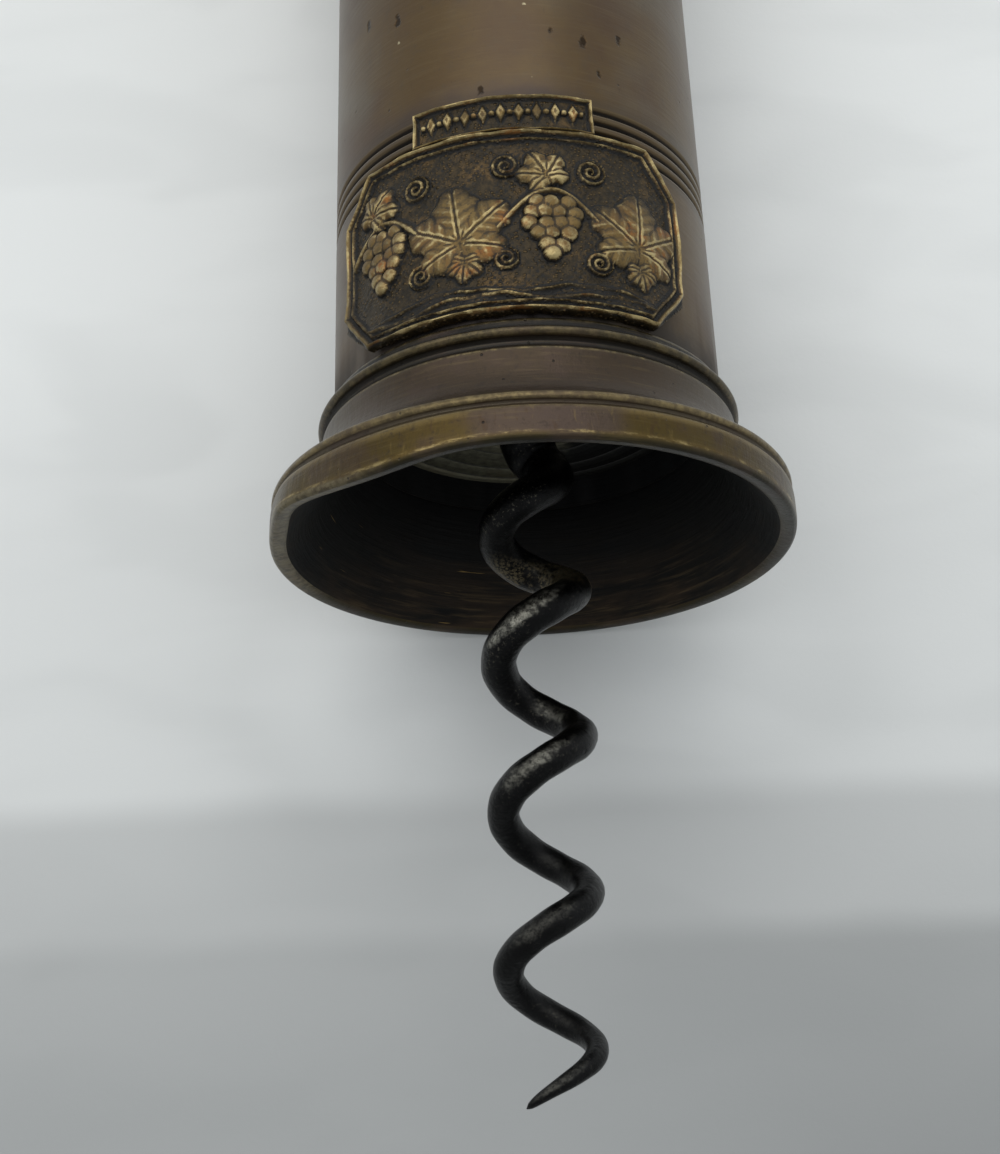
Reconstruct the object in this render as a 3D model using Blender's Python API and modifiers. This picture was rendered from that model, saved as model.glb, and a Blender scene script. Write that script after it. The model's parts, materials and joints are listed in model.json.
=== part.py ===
"""Double-action barrel corkscrew with a turned handle, lying on its side.

The pieces are modelled standing up: the barrel's axis is local Z, the bell mouth
lies in the plane Z = 0 with the handle above it, and the badge faces local -Y.
The empty "corkscrew" then lays the whole on the floor, badge up, mouth towards -Y,
resting on the lip of its foot, on the bead of its cap and on one end of the handle.
"""

import math

import bmesh
import bpy
from mathutils import Vector

for old in list(bpy.data.objects):
    bpy.data.objects.remove(old, do_unlink=True)
PARTS = bpy.data.collections.new("corkscrew")
CUTTERS = bpy.data.collections.new("corkscrew_cutters")
for collection in (PARTS, CUTTERS):
    bpy.context.scene.collection.children.link(collection)

# Fits, in metres
GAP = 0.0003
THREAD_CLEARANCE = 0.00035
OVERRUN = 0.002
WELD = 0.00001

# Radii and walls, from the axis outwards
SPINDLE_RADIUS = 0.0064
SPINDLE_THREAD_DEPTH = 0.0011
SPINDLE_SLACK = 0.0004
SLEEVE_WALL = 0.00245
SLEEVE_THREAD_DEPTH = 0.0012
BUSH_WALL = 0.0014
CAP_WALL = 0.0017
TUBE_WALL = 0.0015
FOOT_FLARE = 0.00505

SLEEVE_BORE = SPINDLE_RADIUS + SPINDLE_SLACK
SLEEVE_ROOT = SLEEVE_BORE + SLEEVE_WALL
SLEEVE_CREST = SLEEVE_ROOT + SLEEVE_THREAD_DEPTH
BUSH_RADIUS = SLEEVE_CREST + THREAD_CLEARANCE + BUSH_WALL
CAP_BORE = BUSH_RADIUS + GAP
SPIGOT_RADIUS = CAP_BORE + CAP_WALL
TUBE_BORE = SPIGOT_RADIUS + GAP
TUBE_RADIUS = TUBE_BORE + TUBE_WALL
LIP_RADIUS = TUBE_RADIUS + FOOT_FLARE

# Worm and the two screws: the spindle feeds at the worm's own pitch
WORM_PITCH = 0.0119
FEED_TURNS = 4
SLEEVE_LEAD = 0.006
LIFT_TURNS = 7.5
SPINDLE_START_COUNT = 2
FEED_TRAVEL = FEED_TURNS * WORM_PITCH
LIFT_TRAVEL = LIFT_TURNS * SLEEVE_LEAD

# Heights above the mouth, upwards
FOOT_HEIGHT = 0.0123
BEAD_HEIGHT = 0.0015
DISC_SETBACK = 0.0011
TUBE_TOP = 0.088
SPIGOT_LENGTH = 0.008
CAP_FLANGE = 0.0067
CAP_BEAD = 0.0016
BUSH_FLANGE = 0.0011
COLLAR_WASHER_THICKNESS = 0.001
COLLAR_HEIGHT = 0.0032
THRUST_WASHER_THICKNESS = 0.0012

SOCKET_FLOOR = FOOT_HEIGHT - BEAD_HEIGHT
DISC_FACE = FOOT_HEIGHT + DISC_SETBACK
CAP_SEAT = TUBE_TOP + GAP
CAP_TOP = CAP_SEAT + CAP_FLANGE
SPIGOT_END = CAP_SEAT - SPIGOT_LENGTH
BUSH_TOP = CAP_TOP + GAP + BUSH_FLANGE
COLLAR_WASHER_BOTTOM = BUSH_TOP + GAP
COLLAR_BOTTOM = COLLAR_WASHER_BOTTOM + COLLAR_WASHER_THICKNESS + GAP
SLEEVE_TOP = COLLAR_BOTTOM + COLLAR_HEIGHT
THRUST_WASHER_BOTTOM = SLEEVE_TOP + GAP
THRUST_WASHER_TOP = THRUST_WASHER_BOTTOM + THRUST_WASHER_THICKNESS
FERRULE_BOTTOM = THRUST_WASHER_TOP + GAP

# How finely round work is cut
ROUND_STEPS = 32
HANDLE_STEPS = 24
SMALL_STEPS = 24
WIRE_STEPS = 8
THREAD_STEPS = 16
SMOOTH_ANGLE = math.radians(35)

# One pitch of a trapezoid thread: share of the pitch, share of the depth
THREAD_SHARES = ((0.0, 0.0), (0.3, 0.0), (0.5, 1.0), (0.8, 1.0))
RIGHT_HAND = 1
LEFT_HAND = -1

# Colour, metallic and roughness of each kind of surface
AGED_BRASS = ((0.13, 0.10, 0.06), 1.0, 0.38)
WORN_BRASS = ((0.36, 0.27, 0.13), 1.0, 0.35)
TINNED_BRASS = ((0.17, 0.17, 0.14), 1.0, 0.5)
BLACK_IRON = ((0.035, 0.035, 0.037), 0.9, 0.42)
BRIGHT_IRON = ((0.30, 0.29, 0.27), 1.0, 0.4)
BONE = ((0.66, 0.53, 0.34), 0.0, 0.35)
PITCH = ((0.03, 0.025, 0.02), 0.0, 0.6)
HOG_HAIR = ((0.07, 0.05, 0.035), 0.0, 0.7)


def finish(name, surface):
    """A material of its own for one sub-part."""
    colour, metallic, roughness = surface
    material = bpy.data.materials.new(name + "_finish")
    material.use_nodes = True
    shader = material.node_tree.nodes["Principled BSDF"]
    shader.inputs["Base Color"].default_value = (*colour, 1.0)
    shader.inputs["Metallic"].default_value = metallic
    shader.inputs["Roughness"].default_value = roughness
    return material


def place(obj, parent, collection):
    collection.objects.link(obj)
    obj.parent = parent
    return obj


def part(name, mesh, surface, parent):
    """A sub-part: one object, one closed body, one node."""
    mesh.materials.append(finish(name, surface))
    return place(bpy.data.objects.new(name, mesh), parent, PARTS)


def tool(name, mesh, parent):
    """A body that is only cut from, or joined to, a sub-part."""
    obj = place(bpy.data.objects.new(name, mesh), parent, CUTTERS)
    obj.hide_render = True
    obj.display_type = "WIRE"
    return obj


def axis_empty(name, parent, location=(0, 0, 0), rotation=(0, 0, 0)):
    empty = place(bpy.data.objects.new(name, None), parent, PARTS)
    empty.location = location
    empty.rotation_euler = rotation
    return empty


def line_mesh(name, profile, closed):
    """A profile in the XZ plane, given as (radius, height) pairs."""
    mesh = bpy.data.meshes.new(name)
    count = len(profile)
    edges = [(i, i + 1) for i in range(count - 1)]
    if closed:
        edges.append((count - 1, 0))
    mesh.from_pydata([(radius, 0, height) for radius, height in profile], edges, [])
    return mesh


def turn(obj, steps):
    """Turn an object's profile once round its Z axis."""
    screw = obj.modifiers.new("turn", "SCREW")
    screw.axis = "Z"
    screw.angle = math.tau
    screw.steps = steps
    screw.render_steps = steps
    screw.use_merge_vertices = True
    screw.merge_threshold = WELD
    screw.use_smooth_shade = True
    return obj


def turned(name, profile, surface, parent, steps=ROUND_STEPS, closed=True):
    """A turned sub-part; the profile runs down its outer side."""
    return turn(part(name, line_mesh(name, profile, closed), surface, parent), steps)


def turned_tool(name, profile, parent, steps=ROUND_STEPS):
    """A turned solid to cut with or to join; its profile starts and ends on the axis."""
    return turn(tool(name, line_mesh(name, profile, False), parent), steps)


def rod_profile(radius, bottom, top):
    return [(0, top), (radius, top), (radius, bottom), (0, bottom)]


def ring_profile(outer, inner, bottom, top, chamfer=0):
    """A plain ring; a chamfer breaks both of its outer edges."""
    if not chamfer:
        return [(outer, top), (outer, bottom), (inner, bottom), (inner, top)]
    return [
        (outer - chamfer, top),
        (outer, top - chamfer),
        (outer, bottom + chamfer),
        (outer - chamfer, bottom),
        (inner, bottom),
        (inner, top),
    ]


def share_profile(shares, radius, spread, bottom, height):
    """Profile points from (share of the spread, share of the height) pairs."""
    return [(radius + out * spread, bottom + up * height) for out, up in shares]


def boolean(target, operand, operation="DIFFERENCE"):
    step = target.modifiers.new(operand.name, "BOOLEAN")
    step.operation = operation
    step.object = operand


def weld(target):
    """Close the hairline seams that a join along a thread's end leaves."""
    step = target.modifiers.new("weld", "WELD")
    step.merge_threshold = WELD


def cylinder_mesh(name, radius, length):
    bm = bmesh.new()
    bmesh.ops.create_cone(
        bm, cap_ends=True, segments=SMALL_STEPS, radius1=radius, radius2=radius, depth=length
    )
    return finished_mesh(name, bm)


def aim(obj, start, end, height, direction):
    """Lay a cylinder square to the axis, from one distance to another along a direction."""
    along = Vector(direction)
    obj.location = along * (start + end) / 2 + Vector((0, 0, height))
    obj.rotation_euler = Vector((0, 0, 1)).rotation_difference(along).to_euler()
    return obj


def cross_bore(name, radius, start, end, height, direction, parent):
    obj = tool(name, cylinder_mesh(name, radius, end - start), parent)
    return aim(obj, start, end, height, direction)


def cross_pin(name, radius, start, end, height, direction, parent):
    obj = part(name, cylinder_mesh(name, radius, end - start), BRIGHT_IRON, parent)
    return aim(obj, start, end, height, direction)


def finished_mesh(name, bm, face_out=True):
    mesh = bpy.data.meshes.new(name)
    if face_out:
        bmesh.ops.recalc_face_normals(bm, faces=bm.faces)
    bm.to_mesh(mesh)
    bm.free()
    mesh.shade_smooth()
    mesh.set_sharp_from_angle(angle=SMOOTH_ANGLE)
    return mesh


def cut_flat(bm, height, direction):
    """Cut away what lies beyond a height and close the cut."""
    geometry = bm.verts[:] + bm.edges[:] + bm.faces[:]
    bmesh.ops.bisect_plane(
        bm, geom=geometry, plane_co=(0, 0, height), plane_no=(0, 0, direction), clear_outer=True
    )
    bmesh.ops.remove_doubles(bm, verts=bm.verts, dist=WELD)


def thread(name, root, crest, lead, starts, hand, bottom, top, parent):
    """A solid screw with a trapezoid thread.

    Every thread is in phase with the height Z = 0 at +X, so a screw and its nut,
    made with the same lead, starts and hand, lie in mesh at any height.
    """
    bm = bmesh.new()
    pitch = lead / starts
    first = (math.floor(bottom / lead) - 1) * lead
    turns = math.ceil((top - first) / lead) + 1
    shares = [(start + up, out) for start in range(starts) for up, out in THREAD_SHARES]
    shares.append((starts, 0.0))
    rows = [
        bm.verts.new((root + out * (crest - root), 0, first + up * pitch)) for up, out in shares
    ]
    for lower, upper in zip(rows, rows[1:]):
        bm.edges.new((lower, upper))
    bmesh.ops.spin(
        bm,
        geom=bm.verts[:] + bm.edges[:],
        cent=(0, 0, 0),
        axis=(0, 0, 1),
        dvec=(0, 0, lead / THREAD_STEPS),
        angle=hand * math.tau * turns,
        steps=THREAD_STEPS * turns,
    )
    bmesh.ops.remove_doubles(bm, verts=bm.verts, dist=WELD)
    cut_flat(bm, bottom, -1)
    cut_flat(bm, top, 1)
    open_edges = [edge for edge in bm.edges if edge.is_boundary]
    bmesh.ops.holes_fill(bm, edges=open_edges, sides=0)
    return tool(name, finished_mesh(name, bm), parent)


# Barrel tube: thin brass, plain but for a band of three reeds between four grooves
REED_BAND_HEIGHT = 0.03035
GROOVE_PITCH = 0.00105
GROOVE_WIDTH = 0.0006
GROOVE_DEPTH = 0.0004
GROOVE_COUNT = 4
CAP_SCREW_RADIUS = 0.0012
CAP_SCREW_SLOT = 0.0004
CAP_SCREW_SLOT_DEPTH = 0.0005
CAP_SCREW_HEIGHT = TUBE_TOP - SPIGOT_LENGTH / 2


def barrel_tube(parent):
    seat = SOCKET_FLOOR + GAP
    profile = [(TUBE_RADIUS, TUBE_TOP)]
    top_groove = REED_BAND_HEIGHT + GROOVE_PITCH * (GROOVE_COUNT - 1) / 2
    for index in range(GROOVE_COUNT):
        middle = top_groove - index * GROOVE_PITCH
        profile.append((TUBE_RADIUS, middle + GROOVE_WIDTH / 2))
        profile.append((TUBE_RADIUS - GROOVE_DEPTH, middle))
        profile.append((TUBE_RADIUS, middle - GROOVE_WIDTH / 2))
    profile += [(TUBE_RADIUS, seat), (TUBE_BORE, seat), (TUBE_BORE, TUBE_TOP)]
    tube = turned("barrel_tube", profile, AGED_BRASS, parent)
    boolean(tube, cap_screw_bore("tube_screw_bore", parent))
    return tube


def cap_screw_bore(name, parent):
    """One rod that drills both screw holes."""
    reach = TUBE_RADIUS + OVERRUN
    radius = CAP_SCREW_RADIUS + GAP
    return cross_bore(name, radius, -reach, reach, CAP_SCREW_HEIGHT, (1, 0, 0), parent)


def cap_screw(name, side, parent):
    """A slotted grub screw that locks the cap in the tube."""
    start = CAP_BORE + GAP
    across = (side, 0, 0)
    screw = cross_pin(
        name, CAP_SCREW_RADIUS, start, TUBE_RADIUS, CAP_SCREW_HEIGHT, across, parent
    )
    bm = bmesh.new()
    bmesh.ops.create_cube(bm, size=1)
    length = 2 * CAP_SCREW_RADIUS + OVERRUN
    size = (length, CAP_SCREW_SLOT, 2 * CAP_SCREW_SLOT_DEPTH)
    bmesh.ops.scale(bm, vec=size, verts=bm.verts)
    slot = tool(name + "_slot", finished_mesh(name + "_slot", bm), parent)
    aim(slot, TUBE_RADIUS, TUBE_RADIUS, CAP_SCREW_HEIGHT, across)
    boolean(screw, slot)
    return screw


# Bell foot: (share of the flare, share of the foot's height), from the bead down to the rim
FOOT_SHARES = (
    (0.15, 1.0),
    (0.25, 0.965),
    (0.27, 0.93),
    (0.25, 0.89),
    (0.17, 0.865),
    (0.19, 0.83),
    (0.22, 0.68),
    (0.31, 0.56),
    (0.55, 0.435),
    (0.61, 0.42),
    (0.61, 0.385),
    (0.52, 0.365),
    (0.66, 0.335),
    (0.86, 0.285),
    (0.97, 0.205),
    (1.0, 0.125),
    (0.99, 0.05),
    (0.96, 0.0),
)
LIP_SHARE = 0.125
RIM_WIDTH = 0.0008
# Inside the bell: (share of the widening from the bore, share of the foot's height)
BELL_SHARES = (
    (1.0, 0.0),
    (0.80, 0.10),
    (0.58, 0.24),
    (0.38, 0.40),
    (0.20, 0.58),
    (0.07, 0.74),
)
LIP_TOUCH = LIP_SHARE * FOOT_HEIGHT


def bell_foot(parent):
    outside = share_profile(FOOT_SHARES, TUBE_RADIUS, FOOT_FLARE, 0, FOOT_HEIGHT)
    mouth_radius = outside[-1][0] - RIM_WIDTH
    inside = share_profile(BELL_SHARES, TUBE_BORE, mouth_radius - TUBE_BORE, 0, FOOT_HEIGHT)
    socket = TUBE_RADIUS + GAP
    throat = [(TUBE_BORE, SOCKET_FLOOR), (socket, SOCKET_FLOOR), (socket, FOOT_HEIGHT)]
    return turned("bell_foot", outside + inside + throat, WORN_BRASS, parent)


# Badge: an eight-sided brass plate with a tab, bent round the tube and soldered on
BADGE_WIDTH = 0.029
BADGE_HEIGHT = 0.0162
BADGE_CORNER_WIDTH = 0.003
BADGE_CORNER_HEIGHT = 0.0038
BADGE_TAB_WIDTH = 0.0142
BADGE_TAB_HEIGHT = 0.0033
BADGE_THICKNESS = 0.0006
BADGE_BORDER = 0.0006
BADGE_SUNK = 0.0003
BADGE_TURN = math.radians(-3.9)
BADGE_STRIPS = 16


def badge_outline():
    half = BADGE_WIDTH / 2
    tab = BADGE_TAB_WIDTH / 2
    bottom = FOOT_HEIGHT + GAP
    top = bottom + BADGE_HEIGHT
    right = [
        (half - BADGE_CORNER_WIDTH, bottom),
        (half, bottom + BADGE_CORNER_HEIGHT),
        (half, top - BADGE_CORNER_HEIGHT),
        (half - BADGE_CORNER_WIDTH, top),
        (tab, top),
        (tab, top + BADGE_TAB_HEIGHT),
    ]
    return right + [(-across, up) for across, up in reversed(right)]


def badge_plate(parent):
    """The plate is made flat, with a sunk field inside its border, and then bent."""
    bm = bmesh.new()
    face = bm.faces.new([bm.verts.new((across, 0, up)) for across, up in badge_outline()])
    bmesh.ops.recalc_face_normals(bm, faces=[face])
    front = bmesh.ops.extrude_face_region(bm, geom=[face], use_keep_orig=True)
    raised = [item for item in front["geom"] if isinstance(item, bmesh.types.BMVert)]
    bmesh.ops.translate(bm, vec=(0, -BADGE_THICKNESS, 0), verts=raised)
    fields = [item for item in front["geom"] if isinstance(item, bmesh.types.BMFace)]
    bmesh.ops.inset_region(bm, faces=fields, thickness=BADGE_BORDER, use_even_offset=True)
    bmesh.ops.inset_region(bm, faces=fields, thickness=BADGE_SUNK, use_even_offset=True)
    bmesh.ops.translate(bm, vec=(0, BADGE_SUNK, 0), verts=fields[0].verts[:])
    for strip in range(1, BADGE_STRIPS):
        across = BADGE_WIDTH * (strip / BADGE_STRIPS - 1 / 2)
        geometry = bm.verts[:] + bm.edges[:] + bm.faces[:]
        bmesh.ops.bisect_plane(bm, geom=geometry, plane_co=(across, 0, 0), plane_no=(1, 0, 0))
    bmesh.ops.remove_doubles(bm, verts=bm.verts, dist=WELD)
    seat = TUBE_RADIUS + GAP
    for vert in bm.verts:
        radius = seat - vert.co.y
        angle = vert.co.x / seat + BADGE_TURN
        vert.co = (radius * math.sin(angle), -radius * math.cos(angle), vert.co.z)
    return part("badge_plate", finished_mesh("badge_plate", bm), WORN_BRASS, parent)


# Cap: (share of its bead, share of the flange's height), from the top edge down
CAP_SHARES = (
    (-0.85, 1.0),
    (-0.25, 0.92),
    (-0.06, 0.79),
    (-0.25, 0.67),
    (0.25, 0.57),
    (0.8, 0.5),
    (1.0, 0.42),
    (1.0, 0.25),
    (0.8, 0.15),
    (0.3, 0.1),
    (0.25, 0.0),
)
CAP_TOUCH_SHARE = 0.42
BUSH_RIM = 0.0013
CAP_RADIUS = TUBE_RADIUS + CAP_BEAD
CAP_TOUCH = CAP_SEAT + CAP_TOUCH_SHARE * CAP_FLANGE


def barrel_cap(parent):
    flange = share_profile(CAP_SHARES, TUBE_RADIUS, CAP_BEAD, CAP_SEAT, CAP_FLANGE)
    spigot = [(SPIGOT_RADIUS, CAP_SEAT), (SPIGOT_RADIUS, SPIGOT_END)]
    bore = [(CAP_BORE, SPIGOT_END), (CAP_BORE, CAP_TOP)]
    cap = turned("barrel_cap", flange + spigot + bore, WORN_BRASS, parent)
    boolean(cap, cap_screw_bore("cap_screw_bore", parent))
    return cap


def cap_bush(parent):
    """The left-handed nut that the sleeve climbs through, pressed into the cap."""
    profile = [
        (0, BUSH_TOP),
        (BUSH_RADIUS + BUSH_RIM, BUSH_TOP),
        (BUSH_RADIUS + BUSH_RIM, BUSH_TOP - BUSH_FLANGE),
        (BUSH_RADIUS, BUSH_TOP - BUSH_FLANGE),
        (BUSH_RADIUS, SPIGOT_END),
        (0, SPIGOT_END),
    ]
    bush = turned("cap_bush", profile, TINNED_BRASS, parent, closed=False)
    nut = thread(
        "bush_thread",
        SLEEVE_ROOT + THREAD_CLEARANCE,
        SLEEVE_CREST + THREAD_CLEARANCE,
        SLEEVE_LEAD,
        1,
        LEFT_HAND,
        SPIGOT_END - OVERRUN,
        BUSH_TOP + OVERRUN,
        parent,
    )
    boolean(bush, nut)
    return bush


# Sleeve: left-handed outside, with a right-handed nut for the spindle in its top
DISC_THICKNESS = 0.0024
DISC_LIP = 0.0007
SLEEVE_CORE_SHARE = 0.1
SPIGOT_WALL = 0.0016
COLLAR_OVERHANG = 0.0026
COLLAR_CHAMFER = 0.0004
COLLAR_PIN_RADIUS = 0.0008
COLLAR_PIN_BITE = 0.0014
SLEEVE_CORE = SLEEVE_ROOT - SLEEVE_CORE_SHARE * SLEEVE_WALL
SLEEVE_PLAIN = SLEEVE_CREST + GAP
SLEEVE_SPIGOT = SLEEVE_BORE + SPIGOT_WALL
DISC_TOP = DISC_FACE + DISC_THICKNESS
SLEEVE_SHOULDER = SPIGOT_END - LIFT_TRAVEL - GAP
NUT_LENGTH = 0.0132
NUT_BOTTOM = SLEEVE_TOP - NUT_LENGTH
COLLAR_RADIUS = SLEEVE_CREST + COLLAR_OVERHANG
COLLAR_PIN_HEIGHT = (COLLAR_BOTTOM + SLEEVE_TOP) / 2


def threaded_sleeve(parent):
    core = [
        (0, SLEEVE_TOP),
        (SLEEVE_CORE, SLEEVE_TOP),
        (SLEEVE_CORE, SLEEVE_SHOULDER),
        (SLEEVE_PLAIN, SLEEVE_SHOULDER),
        (SLEEVE_PLAIN, DISC_TOP + GAP),
        (SLEEVE_SPIGOT, DISC_TOP + GAP),
        (SLEEVE_SPIGOT, DISC_FACE + DISC_LIP + GAP),
        (0, DISC_FACE + DISC_LIP + GAP),
    ]
    sleeve = turned("threaded_sleeve", core, TINNED_BRASS, parent, closed=False)
    screw = thread(
        "sleeve_thread",
        SLEEVE_ROOT,
        SLEEVE_CREST,
        SLEEVE_LEAD,
        1,
        LEFT_HAND,
        SLEEVE_SHOULDER - GAP,
        BUSH_TOP,
        parent,
    )
    boolean(sleeve, screw, "UNION")
    nut = thread(
        "sleeve_nut_thread",
        SPINDLE_ROOT + THREAD_CLEARANCE,
        SPINDLE_RADIUS + THREAD_CLEARANCE,
        WORM_PITCH,
        SPINDLE_START_COUNT,
        RIGHT_HAND,
        NUT_BOTTOM - OVERRUN,
        SLEEVE_TOP + OVERRUN,
        parent,
    )
    boolean(sleeve, nut)
    bore = rod_profile(SLEEVE_BORE, DISC_FACE - OVERRUN, NUT_BOTTOM)
    boolean(sleeve, turned_tool("sleeve_bore", bore, parent))
    boolean(sleeve, collar_pin_bore("sleeve_pin_bore", parent))
    weld(sleeve)
    return sleeve


def collar_pin_bore(name, parent):
    """The radial hole, on one side, for the collar's pin."""
    start = SLEEVE_CORE - COLLAR_PIN_BITE - GAP
    radius = COLLAR_PIN_RADIUS + GAP
    end = COLLAR_RADIUS + OVERRUN
    return cross_bore(name, radius, start, end, COLLAR_PIN_HEIGHT, (0, -1, 0), parent)


def cork_disc(parent):
    """The disc on the sleeve's lower end, a running fit in the barrel."""
    profile = [
        (TUBE_BORE - GAP, DISC_TOP),
        (TUBE_BORE - GAP, DISC_FACE),
        (SLEEVE_BORE, DISC_FACE),
        (SLEEVE_BORE, DISC_FACE + DISC_LIP),
        (SLEEVE_SPIGOT + GAP, DISC_FACE + DISC_LIP),
        (SLEEVE_SPIGOT + GAP, DISC_TOP),
    ]
    return turned("cork_disc", profile, TINNED_BRASS, parent)


def collar_washer(parent):
    """A loose washer, caught between the sleeve's collar and the end of its thread."""
    profile = ring_profile(
        COLLAR_RADIUS - GAP,
        SLEEVE_CORE + GAP,
        COLLAR_WASHER_BOTTOM,
        COLLAR_WASHER_BOTTOM + COLLAR_WASHER_THICKNESS,
    )
    return turned("collar_washer", profile, WORN_BRASS, parent, SMALL_STEPS)


def sleeve_collar(parent):
    profile = ring_profile(
        COLLAR_RADIUS, SLEEVE_CORE + GAP, COLLAR_BOTTOM, SLEEVE_TOP, COLLAR_CHAMFER
    )
    collar = turned("sleeve_collar", profile, WORN_BRASS, parent, SMALL_STEPS)
    boolean(collar, collar_pin_bore("collar_pin_bore", parent))
    return collar


def collar_pin(parent):
    start = SLEEVE_CORE - COLLAR_PIN_BITE
    radius = COLLAR_PIN_RADIUS
    return cross_pin(
        "collar_pin", radius, start, COLLAR_RADIUS, COLLAR_PIN_HEIGHT, (0, -1, 0), parent
    )


# Spindle: the right-handed screw inside the sleeve, with a socket for the worm
SPINDLE_ROOT = SPINDLE_RADIUS - SPINDLE_THREAD_DEPTH
SPINDLE_NECK_STEP = 0.0003
TANG_RADIUS = 0.0024
SHANK_RADIUS = 0.0023
SOCKET_DEPTH = 0.008
WORM_PIN_RADIUS = 0.0008
WORM_PIN_SHORT = 0.0003
SPINDLE_NECK = SPINDLE_ROOT - SPINDLE_NECK_STEP
SPINDLE_PLAIN = SLEEVE_BORE - GAP
SPINDLE_FACE = DISC_FACE + GAP
SPINDLE_SHOULDER = NUT_BOTTOM - FEED_TRAVEL - GAP
SOCKET_TOP = SPINDLE_FACE + SOCKET_DEPTH
WORM_PIN_HEIGHT = (SPINDLE_FACE + SOCKET_TOP) / 2

# Handle: turned bone, with a dome at each end and a hole for the tang
HANDLE_RADIUS = 0.0106
HANDLE_END_RADIUS = 0.0088
HANDLE_END_REACH = 0.0392
HANDLE_FLAT = 0.0082
FERRULE_RADIUS = 0.0095
FERRULE_FLANGE = 0.0018
FERRULE_HEIGHT = 0.0046
FERRULE_NECK = 0.0076
ROSETTE_THICKNESS = 0.0016
ROSETTE_CHAMFER = 0.0005
FERRULE_TOP = FERRULE_BOTTOM + FERRULE_HEIGHT
HANDLE_AXIS = FERRULE_TOP + GAP + HANDLE_FLAT
ROSETTE_BOTTOM = HANDLE_AXIS + HANDLE_FLAT + GAP
ROSETTE_TOP = ROSETTE_BOTTOM + ROSETTE_THICKNESS
# From the last groove before an end to the middle: (share of the reach, share of the radius)
HANDLE_SHARES = (
    (0.955, 0.73),
    (0.93, 0.80),
    (0.86, 0.86),
    (0.76, 0.82),
    (0.55, 0.74),
    (0.38, 0.79),
    (0.31, 0.87),
    (0.27, 0.93),
    (0.24, 0.87),
    (0.20, 0.985),
    (0.10, 1.0),
)
DOME_STEPS = 5

# Finial nut with an eye for the hanging ring
NUT_RADIUS = 0.005
NUT_HEIGHT = 0.0042
NUT_STEM = 0.0036
NUT_BASE_SHARE = 0.4
TANG_BITE = 0.0026
EYE_RISE = 0.007
EYE_RADIUS = 0.0036
EYE_THICKNESS = 0.0036
RING_RADIUS = 0.009
RING_WIRE = 0.0011
RING_SLACK = 0.0005
NUT_BOTTOM_FACE = ROSETTE_TOP + GAP
TANG_TOP = NUT_BOTTOM_FACE + TANG_BITE
EYE_HEIGHT = NUT_BOTTOM_FACE + EYE_RISE

# Dusting brush in the handle's other end
BRUSH_HOLE = 0.0046
BRUSH_HOLE_DEPTH = 0.014
BRUSH_PLUG = 0.004
BRUSH_SLICE = 0.0015
BRISTLE_LENGTH = 0.025
BRISTLE_CELLS = 14
BRISTLE_MARGIN = 0.00007
BRISTLE_SPREAD_SHARE = 0.22
BRISTLE_UNEVEN_SHARE = 0.08
BRISTLE_STRAY = 0.0001
GOLDEN_ANGLE = math.radians(137.5)


def inner_spindle(parent):
    core = [
        (0, TANG_TOP),
        (TANG_RADIUS, TANG_TOP),
        (TANG_RADIUS, THRUST_WASHER_TOP),
        (SPINDLE_NECK, THRUST_WASHER_TOP),
        (SPINDLE_NECK, SPINDLE_SHOULDER),
        (SPINDLE_PLAIN, SPINDLE_SHOULDER),
        (SPINDLE_PLAIN, SPINDLE_FACE),
        (0, SPINDLE_FACE),
    ]
    spindle = turned("inner_spindle", core, BRIGHT_IRON, parent, SMALL_STEPS, closed=False)
    screw = thread(
        "spindle_thread",
        SPINDLE_ROOT,
        SPINDLE_RADIUS,
        WORM_PITCH,
        SPINDLE_START_COUNT,
        RIGHT_HAND,
        SPINDLE_SHOULDER - GAP,
        SLEEVE_TOP,
        parent,
    )
    boolean(spindle, screw, "UNION")
    socket = rod_profile(SHANK_RADIUS + GAP, SPINDLE_FACE - OVERRUN, SOCKET_TOP)
    boolean(spindle, turned_tool("worm_socket", socket, parent, SMALL_STEPS))
    boolean(spindle, worm_pin_bore("spindle_pin_bore", parent))
    weld(spindle)
    return spindle


def worm_pin_bore(name, parent):
    reach = SPINDLE_RADIUS + OVERRUN
    radius = WORM_PIN_RADIUS + GAP
    return cross_bore(name, radius, -reach, reach, WORM_PIN_HEIGHT, (1, 0, 0), parent)


def worm_pin(parent):
    """The cross pin that holds the worm in its socket."""
    end = SPINDLE_PLAIN - WORM_PIN_SHORT
    return cross_pin("worm_pin", WORM_PIN_RADIUS, -end, end, WORM_PIN_HEIGHT, (1, 0, 0), parent)


# Worm: a forged wire that leaves its shank, winds out to the helix and ends in a point
WORM_COIL_RADIUS = 0.00306
WORM_WIRE = 0.0015
WORM_THIN_SHARE = 0.66
WORM_REACH = 0.0417
WORM_POINT_LENGTH = 0.0096
WORM_RIGHT = 0.0029
WORM_START = 0.013
# The last turn is wound tighter
WORM_TIGHT_FROM = 0.0264
WORM_TIGHT_TURN = 0.105
SHANK_TAPER = 0.008
WORM_ROWS_A_TURN = 13
WORM_POINT_SHARE = 0.05


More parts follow.
